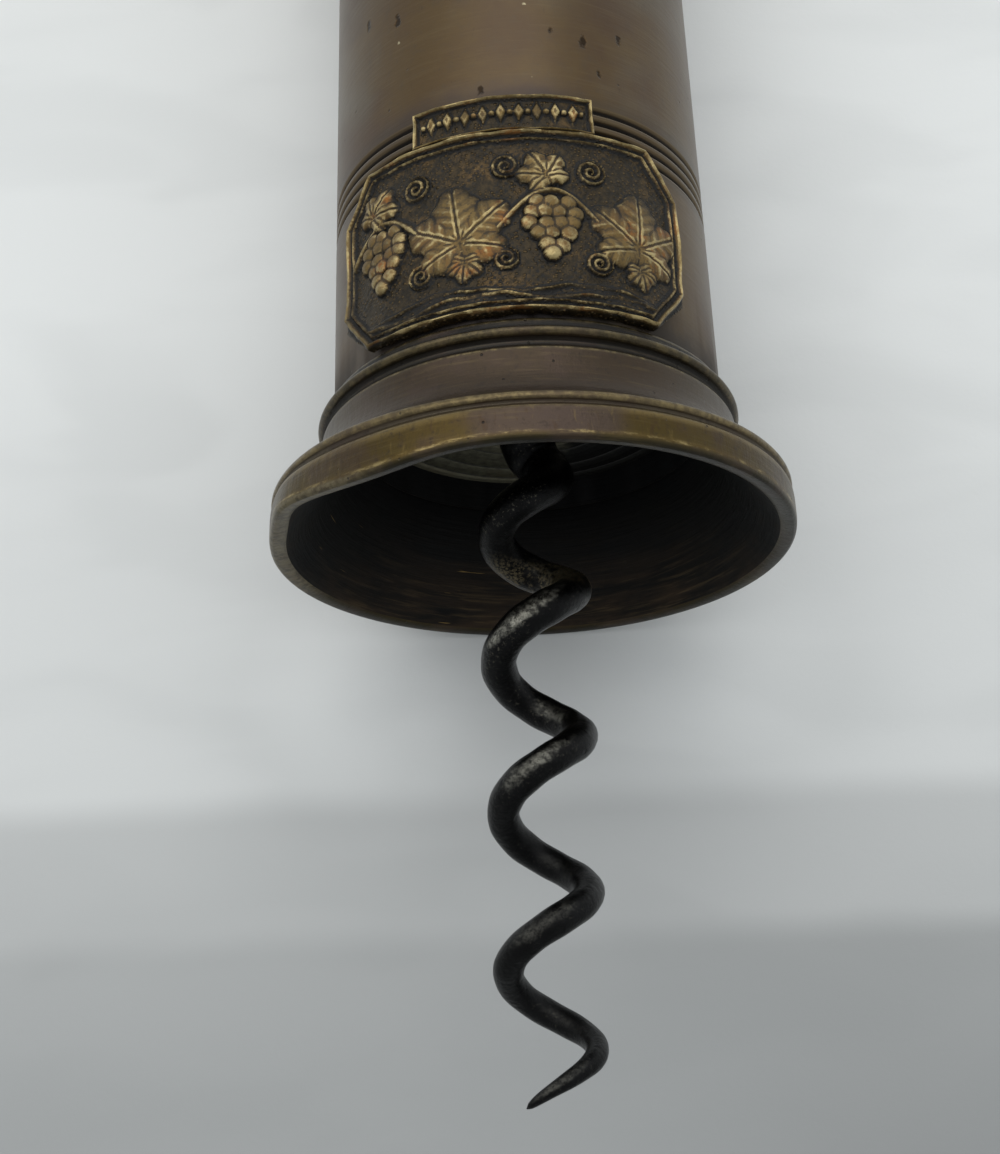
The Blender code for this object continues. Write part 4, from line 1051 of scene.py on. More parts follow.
def tinned(name, place, light=(122, 124, 116), dark_tone=(82, 82, 74), shadowed=False, thread=None):
    """Tinned brass, dull grey, with turning rings, some brass showing, and painted shadow if
    shadowed.
    """
    material, spot = new_finish(name, place)
    edges, hollows = bent(spot)
    patches = noise(spot, 4.0, 5.0, 0.65)
    mottle = noise(spot, 0.6, 6.0, 0.7)
    far = off_axis(spot)
    rings = (far * 9.0).math("SINE") * 0.5 + 0.5
    right = axes(spot)[0] + (patches - 0.5) * 12
    colour = coats(
        mix(step(mottle, 0.35, 0.7), light, dark_tone),
        (step(patches, 0.5, 0.66) * 0.7, (84, 74, 54)),
        (edges * 0.5, (150, 144, 122)),
        # Painted shadow over the right side.
        *([(step(right, 0.5, 3.5) * 0.95, (7, 8, 9))] if shadowed else ()),
        *(thread_wear(far, *thread, (164, 152, 118)) if thread else ()),
        (hollows * 0.85, (26, 24, 20)),
    )
    shade(
        material, spot, Base_Color=colour, Metallic=(0.9 if thread else 0.7) - hollows * 0.4,
        Roughness=(0.34 if thread else 0.48) + mottle * 0.2 - edges * 0.1,
        Normal=bump(mottle * (0.15 if thread else 0.5) + rings * 0.35, 0.05),
    )
    return material


tinned_brass = tinned("tinned_bush_brass", BARREL)
lay(bush, BARREL, tinned_brass)
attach(bush, "barrel")
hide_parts("cap_bush")

# Sleeve: a brass tube cut with a left-handed thread outside; a plain length below
# it runs in the barrel and its lower end is riveted through the disc.
SLEEVE_BORE = 6.8
SLEEVE_CORE = 9.005
SLEEVE_PLAIN = 10.75
SLEEVE_SHOULDER = 35.0
SLEEVE_TOP = 101.2
SLEEVE_SPIGOT = 8.4
BORE_LENGTH = 120.0
DISC_TOP = 15.8
DISC_FACE = 13.4
DISC_LIP = 0.7
GAP = 0.3
COLLAR_PIN_HEIGHT = 99.6
COLLAR_PIN_HOLE = 1.1
COLLAR_PIN_OUT = 11.5
COLLAR_PIN_DEPTH = 8.0

sleeve = turned(
    "sleeve",
    [(0, SLEEVE_TOP), (SLEEVE_CORE, SLEEVE_TOP), (SLEEVE_CORE, SLEEVE_SHOULDER),
     (SLEEVE_PLAIN, SLEEVE_SHOULDER), (SLEEVE_PLAIN, DISC_TOP + GAP),
     (SLEEVE_SPIGOT, DISC_TOP + GAP), (SLEEVE_SPIGOT, DISC_FACE + DISC_LIP + GAP),
     (0, DISC_FACE + DISC_LIP + GAP)],
    steps=96, solid=True,
)
thread = screw("thread", THREAD_ROOT, THREAD_CREST, SLEEVE_LEAD, 1, -1, SLEEVE_SHOULDER - GAP,
               BUSH_TOP)
cut(sleeve, thread, "UNION")
drill(sleeve, SLEEVE_BORE, BORE_LENGTH, (0, 0, BORE_LENGTH / 2), sides=96)
pin_hole = (COLLAR_PIN_HOLE, COLLAR_PIN_DEPTH, (0, -COLLAR_PIN_OUT, COLLAR_PIN_HEIGHT),
            (math.pi / 2, 0, 0))
drill(sleeve, *pin_hole)
soften(sleeve, 0.05, angle=60)
sleeve_finish = tinned("tinned_sleeve_brass", BARREL, (120, 116, 100), (88, 82, 68),
                       thread=(THREAD_ROOT, THREAD_CREST))
lay(sleeve, BARREL, sleeve_finish)
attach(sleeve, "sleeve")
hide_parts("threaded_sleeve")

# Disc: it closes the barrel's throat and presses on the bottle's cork; tinned
# brass, faced on the lathe, dull and a little pitted.
DISC_RADIUS = 14.2
DISC_EDGE = 0.25
DISC_BORE_EDGE = 0.2
DISC_RING_HALF = 0.12
DISC_RINGS = [(8.2, 0.05), (11.0, 0.08), (12.9, 0.1)]

section = [(DISC_RADIUS, DISC_TOP), (DISC_RADIUS, DISC_FACE + DISC_EDGE),
           (DISC_RADIUS - DISC_EDGE, DISC_FACE)]
for ring, depth in reversed(DISC_RINGS):
    section += [(ring + DISC_RING_HALF, DISC_FACE), (ring, DISC_FACE + depth),
                (ring - DISC_RING_HALF, DISC_FACE)]
section += [(SLEEVE_BORE + DISC_BORE_EDGE, DISC_FACE), (SLEEVE_BORE, DISC_FACE + DISC_BORE_EDGE),
            (SLEEVE_BORE, DISC_FACE + DISC_LIP), (SLEEVE_SPIGOT + GAP, DISC_FACE + DISC_LIP),
            (SLEEVE_SPIGOT + GAP, DISC_TOP)]
disc = turned("disc", section)
soften(disc, 0.05, angle=50)
# The disc's right side is painted dark: the shadow that falls on it in the throat.
disc_brass = tinned("tinned_disc_brass", BARREL, (92, 90, 74), (56, 54, 44), shadowed=True)
lay(disc, BARREL, disc_brass)
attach(disc, "sleeve")
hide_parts("cork_disc")

# Collar, its pin and its loose washer: a turned brass collar pinned on the
# sleeve's top keeps it from screwing down out of the bush.
COLLAR_RADIUS = 13.05
COLLAR_FOOT = 98.0
COLLAR_BORE = 9.305
COLLAR_TOP_EDGE = 0.45
COLLAR_FOOT_EDGE = 0.3
COLLAR_GROOVES = (100.4, 98.8)
COLLAR_GROOVE_HALF = 0.15
COLLAR_GROOVE_DEPTH = 0.2
WASHER_RADIUS = 12.75
WASHER_FOOT = 96.7
WASHER_TOP = 97.7

section = [(COLLAR_RADIUS - COLLAR_TOP_EDGE, SLEEVE_TOP),
           (COLLAR_RADIUS, SLEEVE_TOP - COLLAR_TOP_EDGE)]
for groove in COLLAR_GROOVES:
    section += [(COLLAR_RADIUS, groove + COLLAR_GROOVE_HALF),
                (COLLAR_RADIUS - COLLAR_GROOVE_DEPTH, groove),
                (COLLAR_RADIUS, groove - COLLAR_GROOVE_HALF)]
section += [(COLLAR_RADIUS, COLLAR_FOOT + COLLAR_FOOT_EDGE),
            (COLLAR_RADIUS - COLLAR_FOOT_EDGE, COLLAR_FOOT),
            (COLLAR_BORE, COLLAR_FOOT), (COLLAR_BORE, SLEEVE_TOP)]
collar = turned("collar", section)
drill(collar, *pin_hole)
soften(collar, 0.06)
sleeve_brass = worn_brass("collar_brass", BARREL, (124, 106, 72), (90, 74, 54))
lay(collar, BARREL, sleeve_brass)
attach(collar, "sleeve")
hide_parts("sleeve_collar")
refinish("collar_pin", barrel_iron)


def flat_ring(name, radius, bore, low, high, edge):
    """A flat washer, the edges of its outside broken."""
    piece = turned(name, [(radius, high - edge), (radius, low + edge), (radius - edge, low),
                          (bore, low), (bore, high), (radius - edge, high)])
    soften(piece, 0.05)
    return piece


loose = flat_ring("collar_washer_ring", WASHER_RADIUS, COLLAR_BORE, WASHER_FOOT, WASHER_TOP, 0.2)
lay(loose, BARREL, worn_brass("washer_brass", BARREL, (112, 94, 64), (82, 68, 50)))
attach(loose, "collar_washer")
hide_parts("collar_washer")

# Spindle: iron, with a two-start right-handed thread that feeds at the worm's own
# pitch; its plain lower end takes the worm in a socket, with a cross pin through.
SPINDLE_ROOT = 5.3
SPINDLE_CREST = 6.4
SPINDLE_LEAD = 11.9
SPINDLE_PLAIN = 6.5
SPINDLE_FACE = 13.7
SPINDLE_EDGE = 0.3
SPINDLE_SHOULDER = 40.1
SPINDLE_NECK = 5.0
THRUST_TOP = 102.7
TANG_RADIUS = 2.4
TANG_TOP = 129.1
SOCKET_BORE = 2.6
SOCKET_FROM = 10.0
SOCKET_TOP = 21.7
CROSS_PIN_HEIGHT = 17.7
CROSS_PIN_HOLE = 1.1
CROSS_PIN_DEPTH = 20.0

spindle = turned(
    "spindle",
    [(0, TANG_TOP), (TANG_RADIUS, TANG_TOP), (TANG_RADIUS, THRUST_TOP),
     (SPINDLE_NECK, THRUST_TOP), (SPINDLE_NECK, SPINDLE_SHOULDER),
     (SPINDLE_PLAIN, SPINDLE_SHOULDER), (SPINDLE_PLAIN, SPINDLE_FACE + SPINDLE_EDGE),
     (SPINDLE_PLAIN - SPINDLE_EDGE, SPINDLE_FACE), (0, SPINDLE_FACE)],
    steps=96, solid=True,
)
thread = screw("thread", SPINDLE_ROOT, SPINDLE_CREST, SPINDLE_LEAD, 2, 1,
               SPINDLE_SHOULDER - GAP, SLEEVE_TOP)
cut(spindle, thread, "UNION")
drill(spindle, SOCKET_BORE, SOCKET_TOP - SOCKET_FROM, (0, 0, (SOCKET_TOP + SOCKET_FROM) / 2),
      sides=48)
drill(spindle, CROSS_PIN_HOLE, CROSS_PIN_DEPTH, (0, 0, CROSS_PIN_HEIGHT), ACROSS)
soften(spindle, 0.05, angle=60)
spindle_iron = filed_iron("spindle_iron", BARREL, thread=(SPINDLE_ROOT, SPINDLE_CREST))
lay(spindle, BARREL, spindle_iron)
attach(spindle, "spindle")
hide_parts("inner_spindle")
refinish("worm_pin", spindle_iron)

# Worm: forged iron wire, wound right-handed from a straight shank and drawn to a
# point; black, with painted highlights where its crests face the lamp, and rusty
# where it enters the bell.
WORM_COIL = 3.06
WORM_WIRE = 1.5
WORM_THIN = 0.66
WORM_REACH = 41.7
WORM_POINT = 9.6
WORM_TIGHT_FROM = 26.4
WORM_TIGHT_TURN = 0.105
WORM_RIGHT = 2.9
WORM_START = 11.5
WORM_ROOT_FROM = -2.0
WORM_ROOT_LENGTH = 8.0
WORM_ROOT_TURN = 0.14
SHANK_RADIUS = 2.3
SHANK_TAPER = 8.0
SHANK_TOP = 21.4
SHANK_ROWS = [19.0, 17.0, 15.0]
WORM_POINT_SHARE = 0.05
WORM_RIPPLES = [(0.018, 1.9, 0), (0.014, 4.7, 1)]
WORM_STEPS = 300


def eased(value):
    """A value kept from 0 to 1, that starts and ends its change softly."""
    value = min(max(value, 0), 1)
    return value * value * (3 - 2 * value)


def worm_at(height):
    """Centre and radius of the wire at a height above the mouth."""
    wound = min(max((WORM_START - height) / WORM_START, 0), 1)
    coil = WORM_COIL * math.sin(wound * math.pi / 2)
    tight = max((-height - WORM_TIGHT_FROM) / (WORM_REACH - WORM_TIGHT_FROM), 0) ** 1.5
    root = eased((height - WORM_ROOT_FROM) / WORM_ROOT_LENGTH)
    turn = (height + WORM_RIGHT) / SPINDLE_LEAD + WORM_ROOT_TURN * root - WORM_TIGHT_TURN * tight
    turn *= math.tau
    shank = eased((height - WORM_START + SHANK_TAPER) / SHANK_TAPER)
    drawn = min(max(-height / WORM_REACH, 0), 1)
    wire = WORM_WIRE * (1 - (1 - WORM_THIN) * drawn)
    wire += (SHANK_RADIUS - wire) * shank
    wire *= 1 + sum(depth * math.sin(height * rate + phase) for depth, rate, phase in WORM_RIPPLES)
    left = min((height + WORM_REACH) / WORM_POINT, 1)
    wire *= WORM_POINT_SHARE + (1 - WORM_POINT_SHARE) * math.sqrt(1 - (1 - left) ** 2)
    return (coil * math.cos(turn), coil * math.sin(turn), height), wire


def wire(name, fineness):
    """A curve without lines, whose lines get the thickness of their points."""
    piece = start(name, bpy.ops.curve.primitive_nurbs_path_add)
    piece.data.splines.clear()
    piece.data.bevel_depth = 1.0
    piece.data.bevel_resolution = fineness
    piece.data.use_fill_caps = True
    return piece


def draw(piece, points):
    """Add a line through (place, radius) points to a wire."""
    line = piece.data.splines.new("POLY")
    line.points.add(len(points) - 1)
    for point, (place, radius) in zip(line.points, points):
        point.co = (*place, 1)
        point.radius = radius


worm = wire("worm_wire", 8)
heights = [SHANK_TOP, *SHANK_ROWS]
heights += [WORM_START - (WORM_START + WORM_REACH) * i / WORM_STEPS for i in range(WORM_STEPS + 1)]
draw(worm, [worm_at(height) for height in heights])
bpy.ops.object.convert(target="MESH")
edit(worm, merge, face_out)
soften(worm, 0.03, angle=60)

forged, spot = new_finish("forged_iron", BARREL)
x, y, z = axes(spot)
patches = noise(spot, 2.4, 5.0, 0.65)
mottle = noise(spot, 0.45, 6.0, 0.75)
scale = cells(spot, 0.8)
facing = axes(spot.node("ShaderNodeTexCoord", output="Normal"))
# Painted highlight: pale grey speckled crests where the wire faces the lamp, less underneath.
lit_side = facing[2] * 0.95 - facing[0] * 0.24 + facing[1] * 0.2
rubbed_and_glint = step(lit_side + (patches - 0.5) * 0.75, 0.78, 1.02) * step(z, -24.0, -8.0, 0.12, 1.0)
rubbed_and_glint = rubbed_and_glint * fall(z, 1.5, 3.0) * step(y, -1.0, 2.0, 1.0, 0.25)
glint_speckle = rubbed_and_glint * step(mottle, 0.4, 0.58, 0.15, 1.0)
# Lighter mottle and specks fade towards the point.
high = step(z, -24.0, -10.0, 0.3, 1.0)
grain = noise(spot, 0.24, 4.0, 0.75)
# Painted glints: small pale specks on the side that faces the lamp.
specks = step(grain, 0.56, 0.66) * step(lit_side, 0.2, 0.8) * step(patches, 0.4, 0.55)
rusty = step(z, -3.6, -2.4) * fall(z, -0.5, 0.8) * step(grain, 0.44, 0.58)
rusty = rusty * step(patches, 0.36, 0.5)
colour = coats(
    mix(step(patches, 0.4, 0.65), (8, 8, 8), (16, 16, 17)),
    (step(mottle, 0.56, 0.72) * high * 0.5, (40, 40, 38)),
    (glint_speckle * 0.9, (168, 166, 154)),
    (specks * high * 0.5, (120, 116, 102)),
    (rusty * 0.75, (104, 92, 64)),
)
shade(
    forged, spot, Base_Color=colour, Metallic=0.8 - rusty * 0.4,
    Roughness=0.2 + mottle * 0.2 + rusty * 0.2,
    Normal=bump(mottle * 1.0 + patches * 0.6 + step(scale, 0.1, 0.4) * 0.3, 0.07),
)
lay(worm, BARREL, forged)
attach(worm, "spindle")
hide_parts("worm")

# Thrust washer and ferrule: the washer lies loose on the sleeve's collar, and the
# ferrule, turned from brass, carries the handle on the spindle's tang.
FERRULE_FOOT = 103.0
FERRULE_TOP = 107.6
FERRULE_FLANGE = 9.5
FERRULE_NECK = 7.6
TANG_HOLE = 2.7
THRUST_FOOT = 101.5

washer = flat_ring("thrust_ring", FERRULE_FLANGE, SPINDLE_NECK + GAP, THRUST_FOOT, THRUST_TOP, 0.25)
lay(washer, BARREL, worn_brass("thrust_brass", BARREL, (118, 100, 68), (84, 70, 52)))
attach(washer, "thrust_washer")
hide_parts("thrust_washer")

FERRULE_FACE = [(9.1, 103.0), (9.42, 103.18), (9.5, 103.6), (9.5, 104.1), (9.38, 104.5),
                (9.0, 104.8)]
FERRULE_COVE = [(8.7, 104.86), (8.2, 105.0), (7.85, 105.4), (7.6, 106.1), (7.6, 107.6)]
section = curve(FERRULE_FACE) + curve(FERRULE_COVE)
section += [(TANG_HOLE, FERRULE_TOP), (TANG_HOLE, FERRULE_FOOT)]
ferrule = turned("ferrule", section)
soften(ferrule, 0.06)
ferrule_brass = worn_brass("ferrule_brass", BARREL, (126, 108, 74), (88, 72, 52))
lay(ferrule, BARREL, ferrule_brass)
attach(ferrule, "spindle")
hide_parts("handle_ferrule")

# Handle: turned from a beef shin bone, with a bead in the middle, swelling ends
# and a scribed line before each dome; flats are cut in it for its brass, and one
# end is drilled for the brush.
HANDLE_AXIS = 116.1
HANDLE_END = 39.2
END_RADIUS = 8.8
END_STEPS = 16
HANDLE_HALF = [(0.0, 10.62), (3.9, 10.6), (7.8, 10.44)]
HANDLE_BEAD = [(9.3, 9.25), (9.9, 9.66), (10.58, 9.86), (11.3, 9.66), (11.95, 9.22)]
HANDLE_SWELL = [(12.15, 9.2), (14.9, 8.42), (18.0, 7.98), (21.5, 7.84), (25.5, 8.1), (29.8, 8.68),
                (33.7, 9.1), (36.0, 8.75), (37.2, 7.95)]
END_SCRIBE = [(8.6, 38.4), (7.9, 37.75)]
BRUSH_HOLE = 4.6
BRUSH_DEPTH = 14.0
HANDLE_FLAT = 8.2
FLAT_CUT = 6.0
TANG_HOLE_DEPTH = 30.0

HANDLE = standing(joints["ring_swing"]["axis"], UP, MOUTH)
GRIP = HANDLE @ Matrix.Translation((0, 0, HANDLE_AXIS)) @ Matrix.Rotation(math.pi / 2, 4, "Y")
half = [(radius, along) for part in (HANDLE_HALF, HANDLE_BEAD, HANDLE_SWELL)
        for along, radius in curve(part)]


def end_dome(first):
    """The round of a handle end, from an angle off its tip to its widest."""
    turns = [first + (math.pi / 2 - first) * i / END_STEPS for i in range(END_STEPS + 1)]
    return [(END_RADIUS * math.sin(t), HANDLE_END + END_RADIUS * math.cos(t)) for t in turns]


whole_end = end_dome(0) + END_SCRIBE + half[::-1]
brush_end = end_dome(math.asin(BRUSH_HOLE / END_RADIUS)) + END_SCRIBE + half[::-1]
brush_floor = BRUSH_DEPTH - brush_end[0][1]
section = whole_end + [(radius, -along) for radius, along in brush_end[-2::-1]]
section += [(BRUSH_HOLE, brush_floor), (0, brush_floor)]
handle = turned("handle", section, steps=128, solid=True)
drill(handle, TANG_HOLE, TANG_HOLE_DEPTH, turn=ACROSS, sides=48)
for side in (-1, 1):
    cut_middle = (side * (HANDLE_FLAT + FLAT_CUT / 2), 0, 0)
    drill(handle, FERRULE_NECK + GAP, FLAT_CUT, cut_middle, ACROSS, 48)
soften(handle, 0.12)

bone, spot = new_finish("turned_bone", GRIP)
edges, hollows = bent(spot)
x, y, z = axes(spot)
grain = noise(spot, 0.22, 4.0, 0.65, stretch=(1, 1, 26), warp=0.15)
broad = noise(spot, 5.0, 4.0, 0.6, stretch=(1, 1, 3))
pores = step(noise(spot, 0.16, 2.0, 0.5, stretch=(1, 1, 14)), 0.64, 0.72)
pores = pores * step(noise(spot, 4.0, 3.0, stretch=(1, 1, 2)), 0.42, 0.6)
stain = step(noise(spot, 7.0, 5.0, 0.7), 0.56, 0.7) * 0.35
dark = pores * 0.8 + hollows * 0.75
colour = coats(
    mix(step(broad, 0.35, 0.68), (222, 202, 160), (198, 166, 112)),
    (step(grain, 0.45, 0.75) * 0.4, (170, 134, 84)),
    (step(z.math("ABSOLUTE"), 30, 46, 0.0, 0.35), (160, 118, 70)),
    (edges * 0.35, (236, 222, 190)),
    (stain, (128, 92, 56)),
    (dark, (58, 38, 24)),
)
shade(
    bone, spot, Base_Color=colour, Coat_Weight=0.25,
    Roughness=0.30 + broad * 0.14 + pores * 0.3,
    Normal=bump(grain * 0.5 - pores * 1.2 + broad * 0.4, 0.05),
)
lay(handle, GRIP, bone)
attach(handle, "spindle")
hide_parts("handle_grip")

# Rosette and nut: a brass washer with a petalled edge is let into the top of the
# handle, and a nut drawn up into an eye is screwed and riveted on the tang.
ROSETTE_FOOT = 124.6
ROSETTE_TOP = 126.2
ROSETTE_FACE = [(7.6, 124.9), (7.6, 125.4), (7.35, 125.85), (6.8, 126.1), (6.1, 126.2)]
ROSETTE_STEP = [(5.4, 126.2), (5.25, 126.05), (5.05, 126.2)]
PETALS = 12
PETAL_FOOT = 124.95
PETAL_START = 5.5
PETAL_LENGTH = 2.1
PETAL_FALL = 0.28
PETAL_NIP = 0.03
NUT_FOOT = 126.5
NUT_HOLE_DEPTH = 6.0
EYE_HEIGHT = 133.5
EYE_RADIUS = 2.66
EYE_WIRE = 1.04
EYE_WIDENING = 1.5

section = curve(ROSETTE_FACE) + ROSETTE_STEP
section += [(TANG_HOLE, ROSETTE_TOP), (TANG_HOLE, ROSETTE_FOOT), (7.4, ROSETTE_FOOT)]
rosette = turned("rosette", section, steps=240)
for vert in rosette.data.vertices:
    x, y, z = vert.co
    out = (math.hypot(x, y) - PETAL_START) / PETAL_LENGTH
    if z > PETAL_FOOT and out > 0:
        dip = (0.5 - 0.5 * math.cos(math.atan2(y, x) * PETALS)) ** 6 * out
        nip = 1 - PETAL_NIP * dip
        vert.co = (x * nip, y * nip, z - PETAL_FALL * dip)
soften(rosette, 0.06)
lay(rosette, HANDLE, worn_brass("rosette_brass", HANDLE, (130, 112, 76), (90, 74, 52)))
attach(rosette, "spindle")
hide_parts("top_rosette")

NUT_FACE = [(4.75, 126.5), (4.98, 126.75), (5.0, 127.4), (4.95, 127.95), (4.6, 128.5)]
NUT_NECK = [(4.35, 128.75), (3.9, 129.1), (3.55, 129.7), (3.2, 130.4), (2.6, 130.9)]
section = [(0, NUT_FOOT)] + curve(NUT_FACE) + curve(NUT_NECK) + [(0, 131.0)]
nut = turned("nut", section, steps=96, solid=True)
eye = start("eye", bpy.ops.mesh.primitive_torus_add, major_segments=72, minor_segments=24,
            major_radius=EYE_RADIUS, minor_radius=EYE_WIRE, location=(0, 0, EYE_HEIGHT),
            rotation=ACROSS)
edit(eye, lambda: bpy.ops.transform.resize(value=(EYE_WIDENING, 1, 1)))
cut(nut, eye, "UNION")
drill(nut, TANG_HOLE, NUT_HOLE_DEPTH, (0, 0, TANG_TOP + GAP - NUT_HOLE_DEPTH / 2), sides=48)
soften(nut, 0.08, angle=40)
lay(nut, HANDLE, worn_brass("nut_brass", HANDLE, (124, 106, 70), (86, 70, 50)))
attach(nut, "spindle")
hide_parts("top_nut")

# Hanging ring: iron wire bent round in the eye and brazed shut, with a lump where
# its ends meet.
RING_RADIUS = 9.0
RING_WIRE = 1.1
RING_JOINT = math.radians(200)
RING_LUMP = 0.16
RING_LUMP_LENGTH = 1.1
RING_LUMP_WAVE = (0.3, 6)

low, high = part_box("hanging_ring")
ring_middle = (low + high) / 2
hinge = Vector(joints["ring_swing"]["axis"])
eye_point = Vector(joints["ring_swing"]["pos_m"])
outwards = (ring_middle - eye_point) - hinge * hinge.dot(ring_middle - eye_point)
RING = standing(hinge, hinge.cross(outwards), eye_point + outwards.normalized() * RING_RADIUS * MM)
ring = start("ring", bpy.ops.mesh.primitive_torus_add, major_segments=128, minor_segments=20,
             major_radius=RING_RADIUS, minor_radius=RING_WIRE)
for vert in ring.data.vertices:
    turn = math.atan2(vert.co.y, vert.co.x)
    off = math.remainder(turn - RING_JOINT, math.tau) * RING_RADIUS
    middle = Vector((math.cos(turn), math.sin(turn), 0)) * RING_RADIUS
    share, rate = RING_LUMP_WAVE
    swell = ridge(off, RING_LUMP_LENGTH, RING_LUMP) * (1 + share * math.sin(off * rate))
    vert.co = middle + (vert.co - middle) * (1 + swell)
soften(ring, 0.02, angle=60)
lay(ring, RING, filed_iron("ring_iron", RING, (104, 100, 94), (88, 60, 40)))
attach(ring, "hanging_ring")
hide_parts("hanging_ring")

# Brush: hog bristles set in pitch in the drilled end of the handle, to dust the
# bottle's neck; they splay a little and their tips are uneven.
BRISTLE_COUNT = 620
BRISTLE_FOOT = 4.7
BRISTLE_LENGTH = 26.3
BRISTLE_WIRE = 0.105
BRISTLE_PARTS = 6
BRISTLE_THINNING = 0.55
BRISTLE_LENGTHS = (0.94, 0.1)
BRISTLE_VEER = 0.09
BRISTLE_DRIFT = 0.5
BRUSH_RADIUS = 3.95
BRUSH_SPLAY = 0.24
BRUSH_BEND = 0.5
GOLDEN_ANGLE = math.radians(137.508)

pitch, spot = new_finish("black_pitch", GRIP)
lumps = noise(spot, 1.2, 4.0)
shade(pitch, spot, Base_Color=mix(step(lumps, 0.4, 0.7), (38, 32, 28), (22, 18, 16)),
      Roughness=0.45 + lumps * 0.3, Normal=bump(lumps, 0.2))
refinish("brush_plug", pitch)


def stray_by(i, rate, spread):
    """A number from -0.5 to 0.5 that looks drawn by chance and is the same each time."""
    return math.sin(i * rate) * spread % 1 - 0.5


BRUSH = HANDLE @ Matrix.Translation((brush_floor, 0, HANDLE_AXIS))
BRUSH = BRUSH @ Matrix.Rotation(-math.pi / 2, 4, "Y")
bristles = wire("bristles", 0)
for i in range(BRISTLE_COUNT):
    far = BRUSH_RADIUS * math.sqrt((i + 0.5) / BRISTLE_COUNT)
    turn = i * GOLDEN_ANGLE
    stray = stray_by(i, 12.9898, 43758.5453)
    sway = stray_by(i, 78.233, 24634.6345)
    shortest, varied = BRISTLE_LENGTHS
    length = BRISTLE_LENGTH * (shortest + varied * stray)
    hair = []
    for k in range(BRISTLE_PARTS + 1):
        t = k / BRISTLE_PARTS
        out = far * (1 + BRUSH_SPLAY * t * t) + BRUSH_BEND * sway * t * t
        veer = turn + BRISTLE_VEER * stray * t * t
        drift = BRISTLE_DRIFT * sway * math.sin(t * 2.6 + i) * t
        place = (out * math.cos(veer) + drift, out * math.sin(veer) + drift * 0.6,
                 BRISTLE_FOOT + length * t)
        hair.append((place, BRISTLE_WIRE * (1 - BRISTLE_THINNING * t * t)))
    draw(bristles, hair)
bpy.ops.object.convert(target="MESH")
edit(bristles, face_out)
hair_finish, spot = new_finish("hog_hair", BRUSH)
x, y, z = axes(spot)
strand = noise(spot, 0.3, 2.0, 0.5, stretch=(1, 1, 60))
colour = mix(step(strand, 0.35, 0.7), (58, 44, 34), (104, 80, 56))
colour = mix(step(z, 22, 31, 0.0, 0.6), colour, (150, 124, 88))
shade(hair_finish, spot, Base_Color=colour, Roughness=0.45 + strand * 0.2,
      Normal=bump(strand, 0.02))
bpy.ops.object.shade_smooth_by_angle(angle=math.radians(80))
lay(bristles, BRUSH, hair_finish)
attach(bristles, "spindle")
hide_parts("brush_bristles")

# Table top, light and camera: a pale board, toned with the soft shadow edges that
# lie across it, a wide soft light above and behind, and a camera that looks down
# on the mouth.
FLOOR_SIZE = 1.6
FLOOR_CUTS = 3
FLOOR_SHADES = [(-112.0, -50.0, 0.14, 0.42, 0.5), (-60.0, 20.0, 0.0, 0.25, 0.4),
                (-80.5, -77.0, 0.0, 0.11, 0.3), (-68.6, -64.6, 0.0, 0.25, 0.3)]
# Spots where the painted shade is lifted: by the mouth, and far out so the dark stays a patch.
SHADE_LIFTS = [((22, -53, 0), 4, 16, 0.2, 0), ((-7, -56, 0), 4, 14, 0.22, 0),
               ((7, -98, 0), 60, 240, 0, 0.85)]
ROOM_COLOUR = (0.93, 0.97, 1.0, 1.0)
ROOM_SEEN = 0.85
LAMP_PLACE = (-0.14, 0.26, 0.80)
LAMP_AIM = (0, -0.02, 0)
LAMP_SIZE = (1.2, 0.9)
LAMP_POWER = 4.0
LAMP_COLOUR = (1.0, 0.98, 0.95)
CAMERA_PLACE = (0.007695, -0.093456, 0.13374)
CAMERA_RIGHT = (0.99899, -0.031829, -0.031849)
CAMERA_UP = (0.04073, 0.940419, 0.337577)
CAMERA_BACK = (0.01921, -0.338535, 0.940756)
CAMERA_LENS = 46.7127
CAMERA_NEAR = 0.004

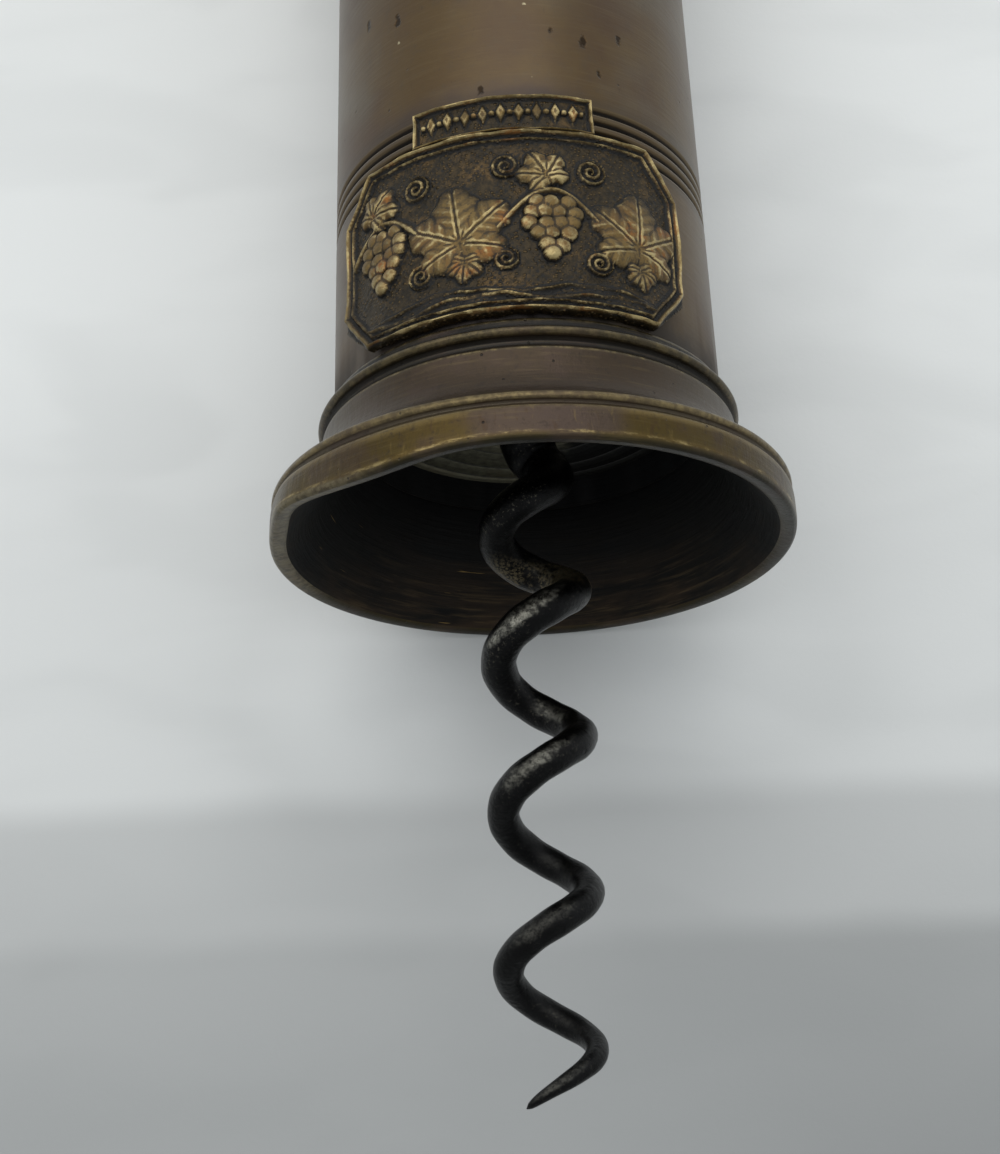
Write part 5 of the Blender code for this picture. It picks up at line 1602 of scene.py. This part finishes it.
floor = start("floor", bpy.ops.mesh.primitive_plane_add, size=FLOOR_SIZE)
edit(floor, lambda: bpy.ops.mesh.subdivide(number_cuts=FLOOR_CUTS))
board, spot = new_finish("pale_board", Matrix.Scale(MM, 4))
x, y, z = axes(spot)
fibre = noise(spot, 0.8, 5.0, 0.65)
wander = (noise(spot, 45.0, 3.0) - 0.5) * 8.0
pale = step(x, 4.0, 40.0) * step(y, -80.5, -77.0, -0.12, 0.0)
for low, high, below, above, share in FLOOR_SHADES:
    pale = pale + step(y + wander * share, low, high, below, above)
for place, near, far, lift_near, lift_far in SHADE_LIFTS:
    pale = pale + step(vector("DISTANCE", spot, place, "Value"), near, far, lift_near, lift_far)
# Painted shade of faint folds in the board.
fold_shade = noise(spot, 11.0, 2.0, 0.4, stretch=(2.4, 1, 1), warp=0.6)
fold_shade = step(fold_shade, 0.4, 0.66) * fall(x * x + y * y, 8000.0, 30000.0)
specks = fall(cells(spot, 6.0), 0.02, 0.05) * step(noise(spot, 14.0, 2.0), 0.62, 0.68)
colour = coats(
    mix(pale, (140, 142, 142), (228, 230, 229)),
    (fold_shade * 0.07, (120, 124, 124)),
    (specks * 0.2, (120, 120, 118)),
)
shade(board, spot, Base_Color=colour, Roughness=0.75 + fibre * 0.1, Normal=bump(fibre, 0.02),
      Specular_IOR_Level=0.2)
floor.data.materials.append(board)

world = bpy.data.worlds.new("room")
bpy.context.scene.world = world
world.use_nodes = True
sky = Wire(world.node_tree)
direction = sky.node("ShaderNodeTexCoord", output="Generated")
x, y, z = axes(direction)
behind = step(y, -0.6, 0.8, 0.5, 0.95) + step(x, 0.2, 0.9, 0.0, 0.15)
ray = sky.node("ShaderNodeLightPath", output="Is Camera Ray")
background = world.node_tree.nodes["Background"]
sky.put(background.inputs["Color"], ROOM_COLOUR)
sky.put(background.inputs["Strength"], behind * (1.0 - ray) + ray * ROOM_SEEN)

bpy.ops.object.light_add(type="AREA", location=LAMP_PLACE)
lamp = bpy.context.object
lamp.name = "window"
lamp.data.shape = "RECTANGLE"
lamp.data.size, lamp.data.size_y = LAMP_SIZE
lamp.data.energy = LAMP_POWER
lamp.data.color = LAMP_COLOUR
lamp.rotation_euler = (Vector(LAMP_AIM) - lamp.location).to_track_quat("-Z", "Y").to_euler()

camera = bpy.data.objects.new("camera", bpy.data.cameras.new("camera"))
bpy.context.scene.collection.objects.link(camera)
turn = Matrix((CAMERA_RIGHT, CAMERA_UP, CAMERA_BACK)).transposed().to_4x4()
camera.matrix_world = Matrix.Translation(CAMERA_PLACE) @ turn
camera.data.lens = CAMERA_LENS
camera.data.clip_start = CAMERA_NEAR
bpy.context.scene.camera = camera
bpy.context.scene.view_settings.view_transform = "Standard"
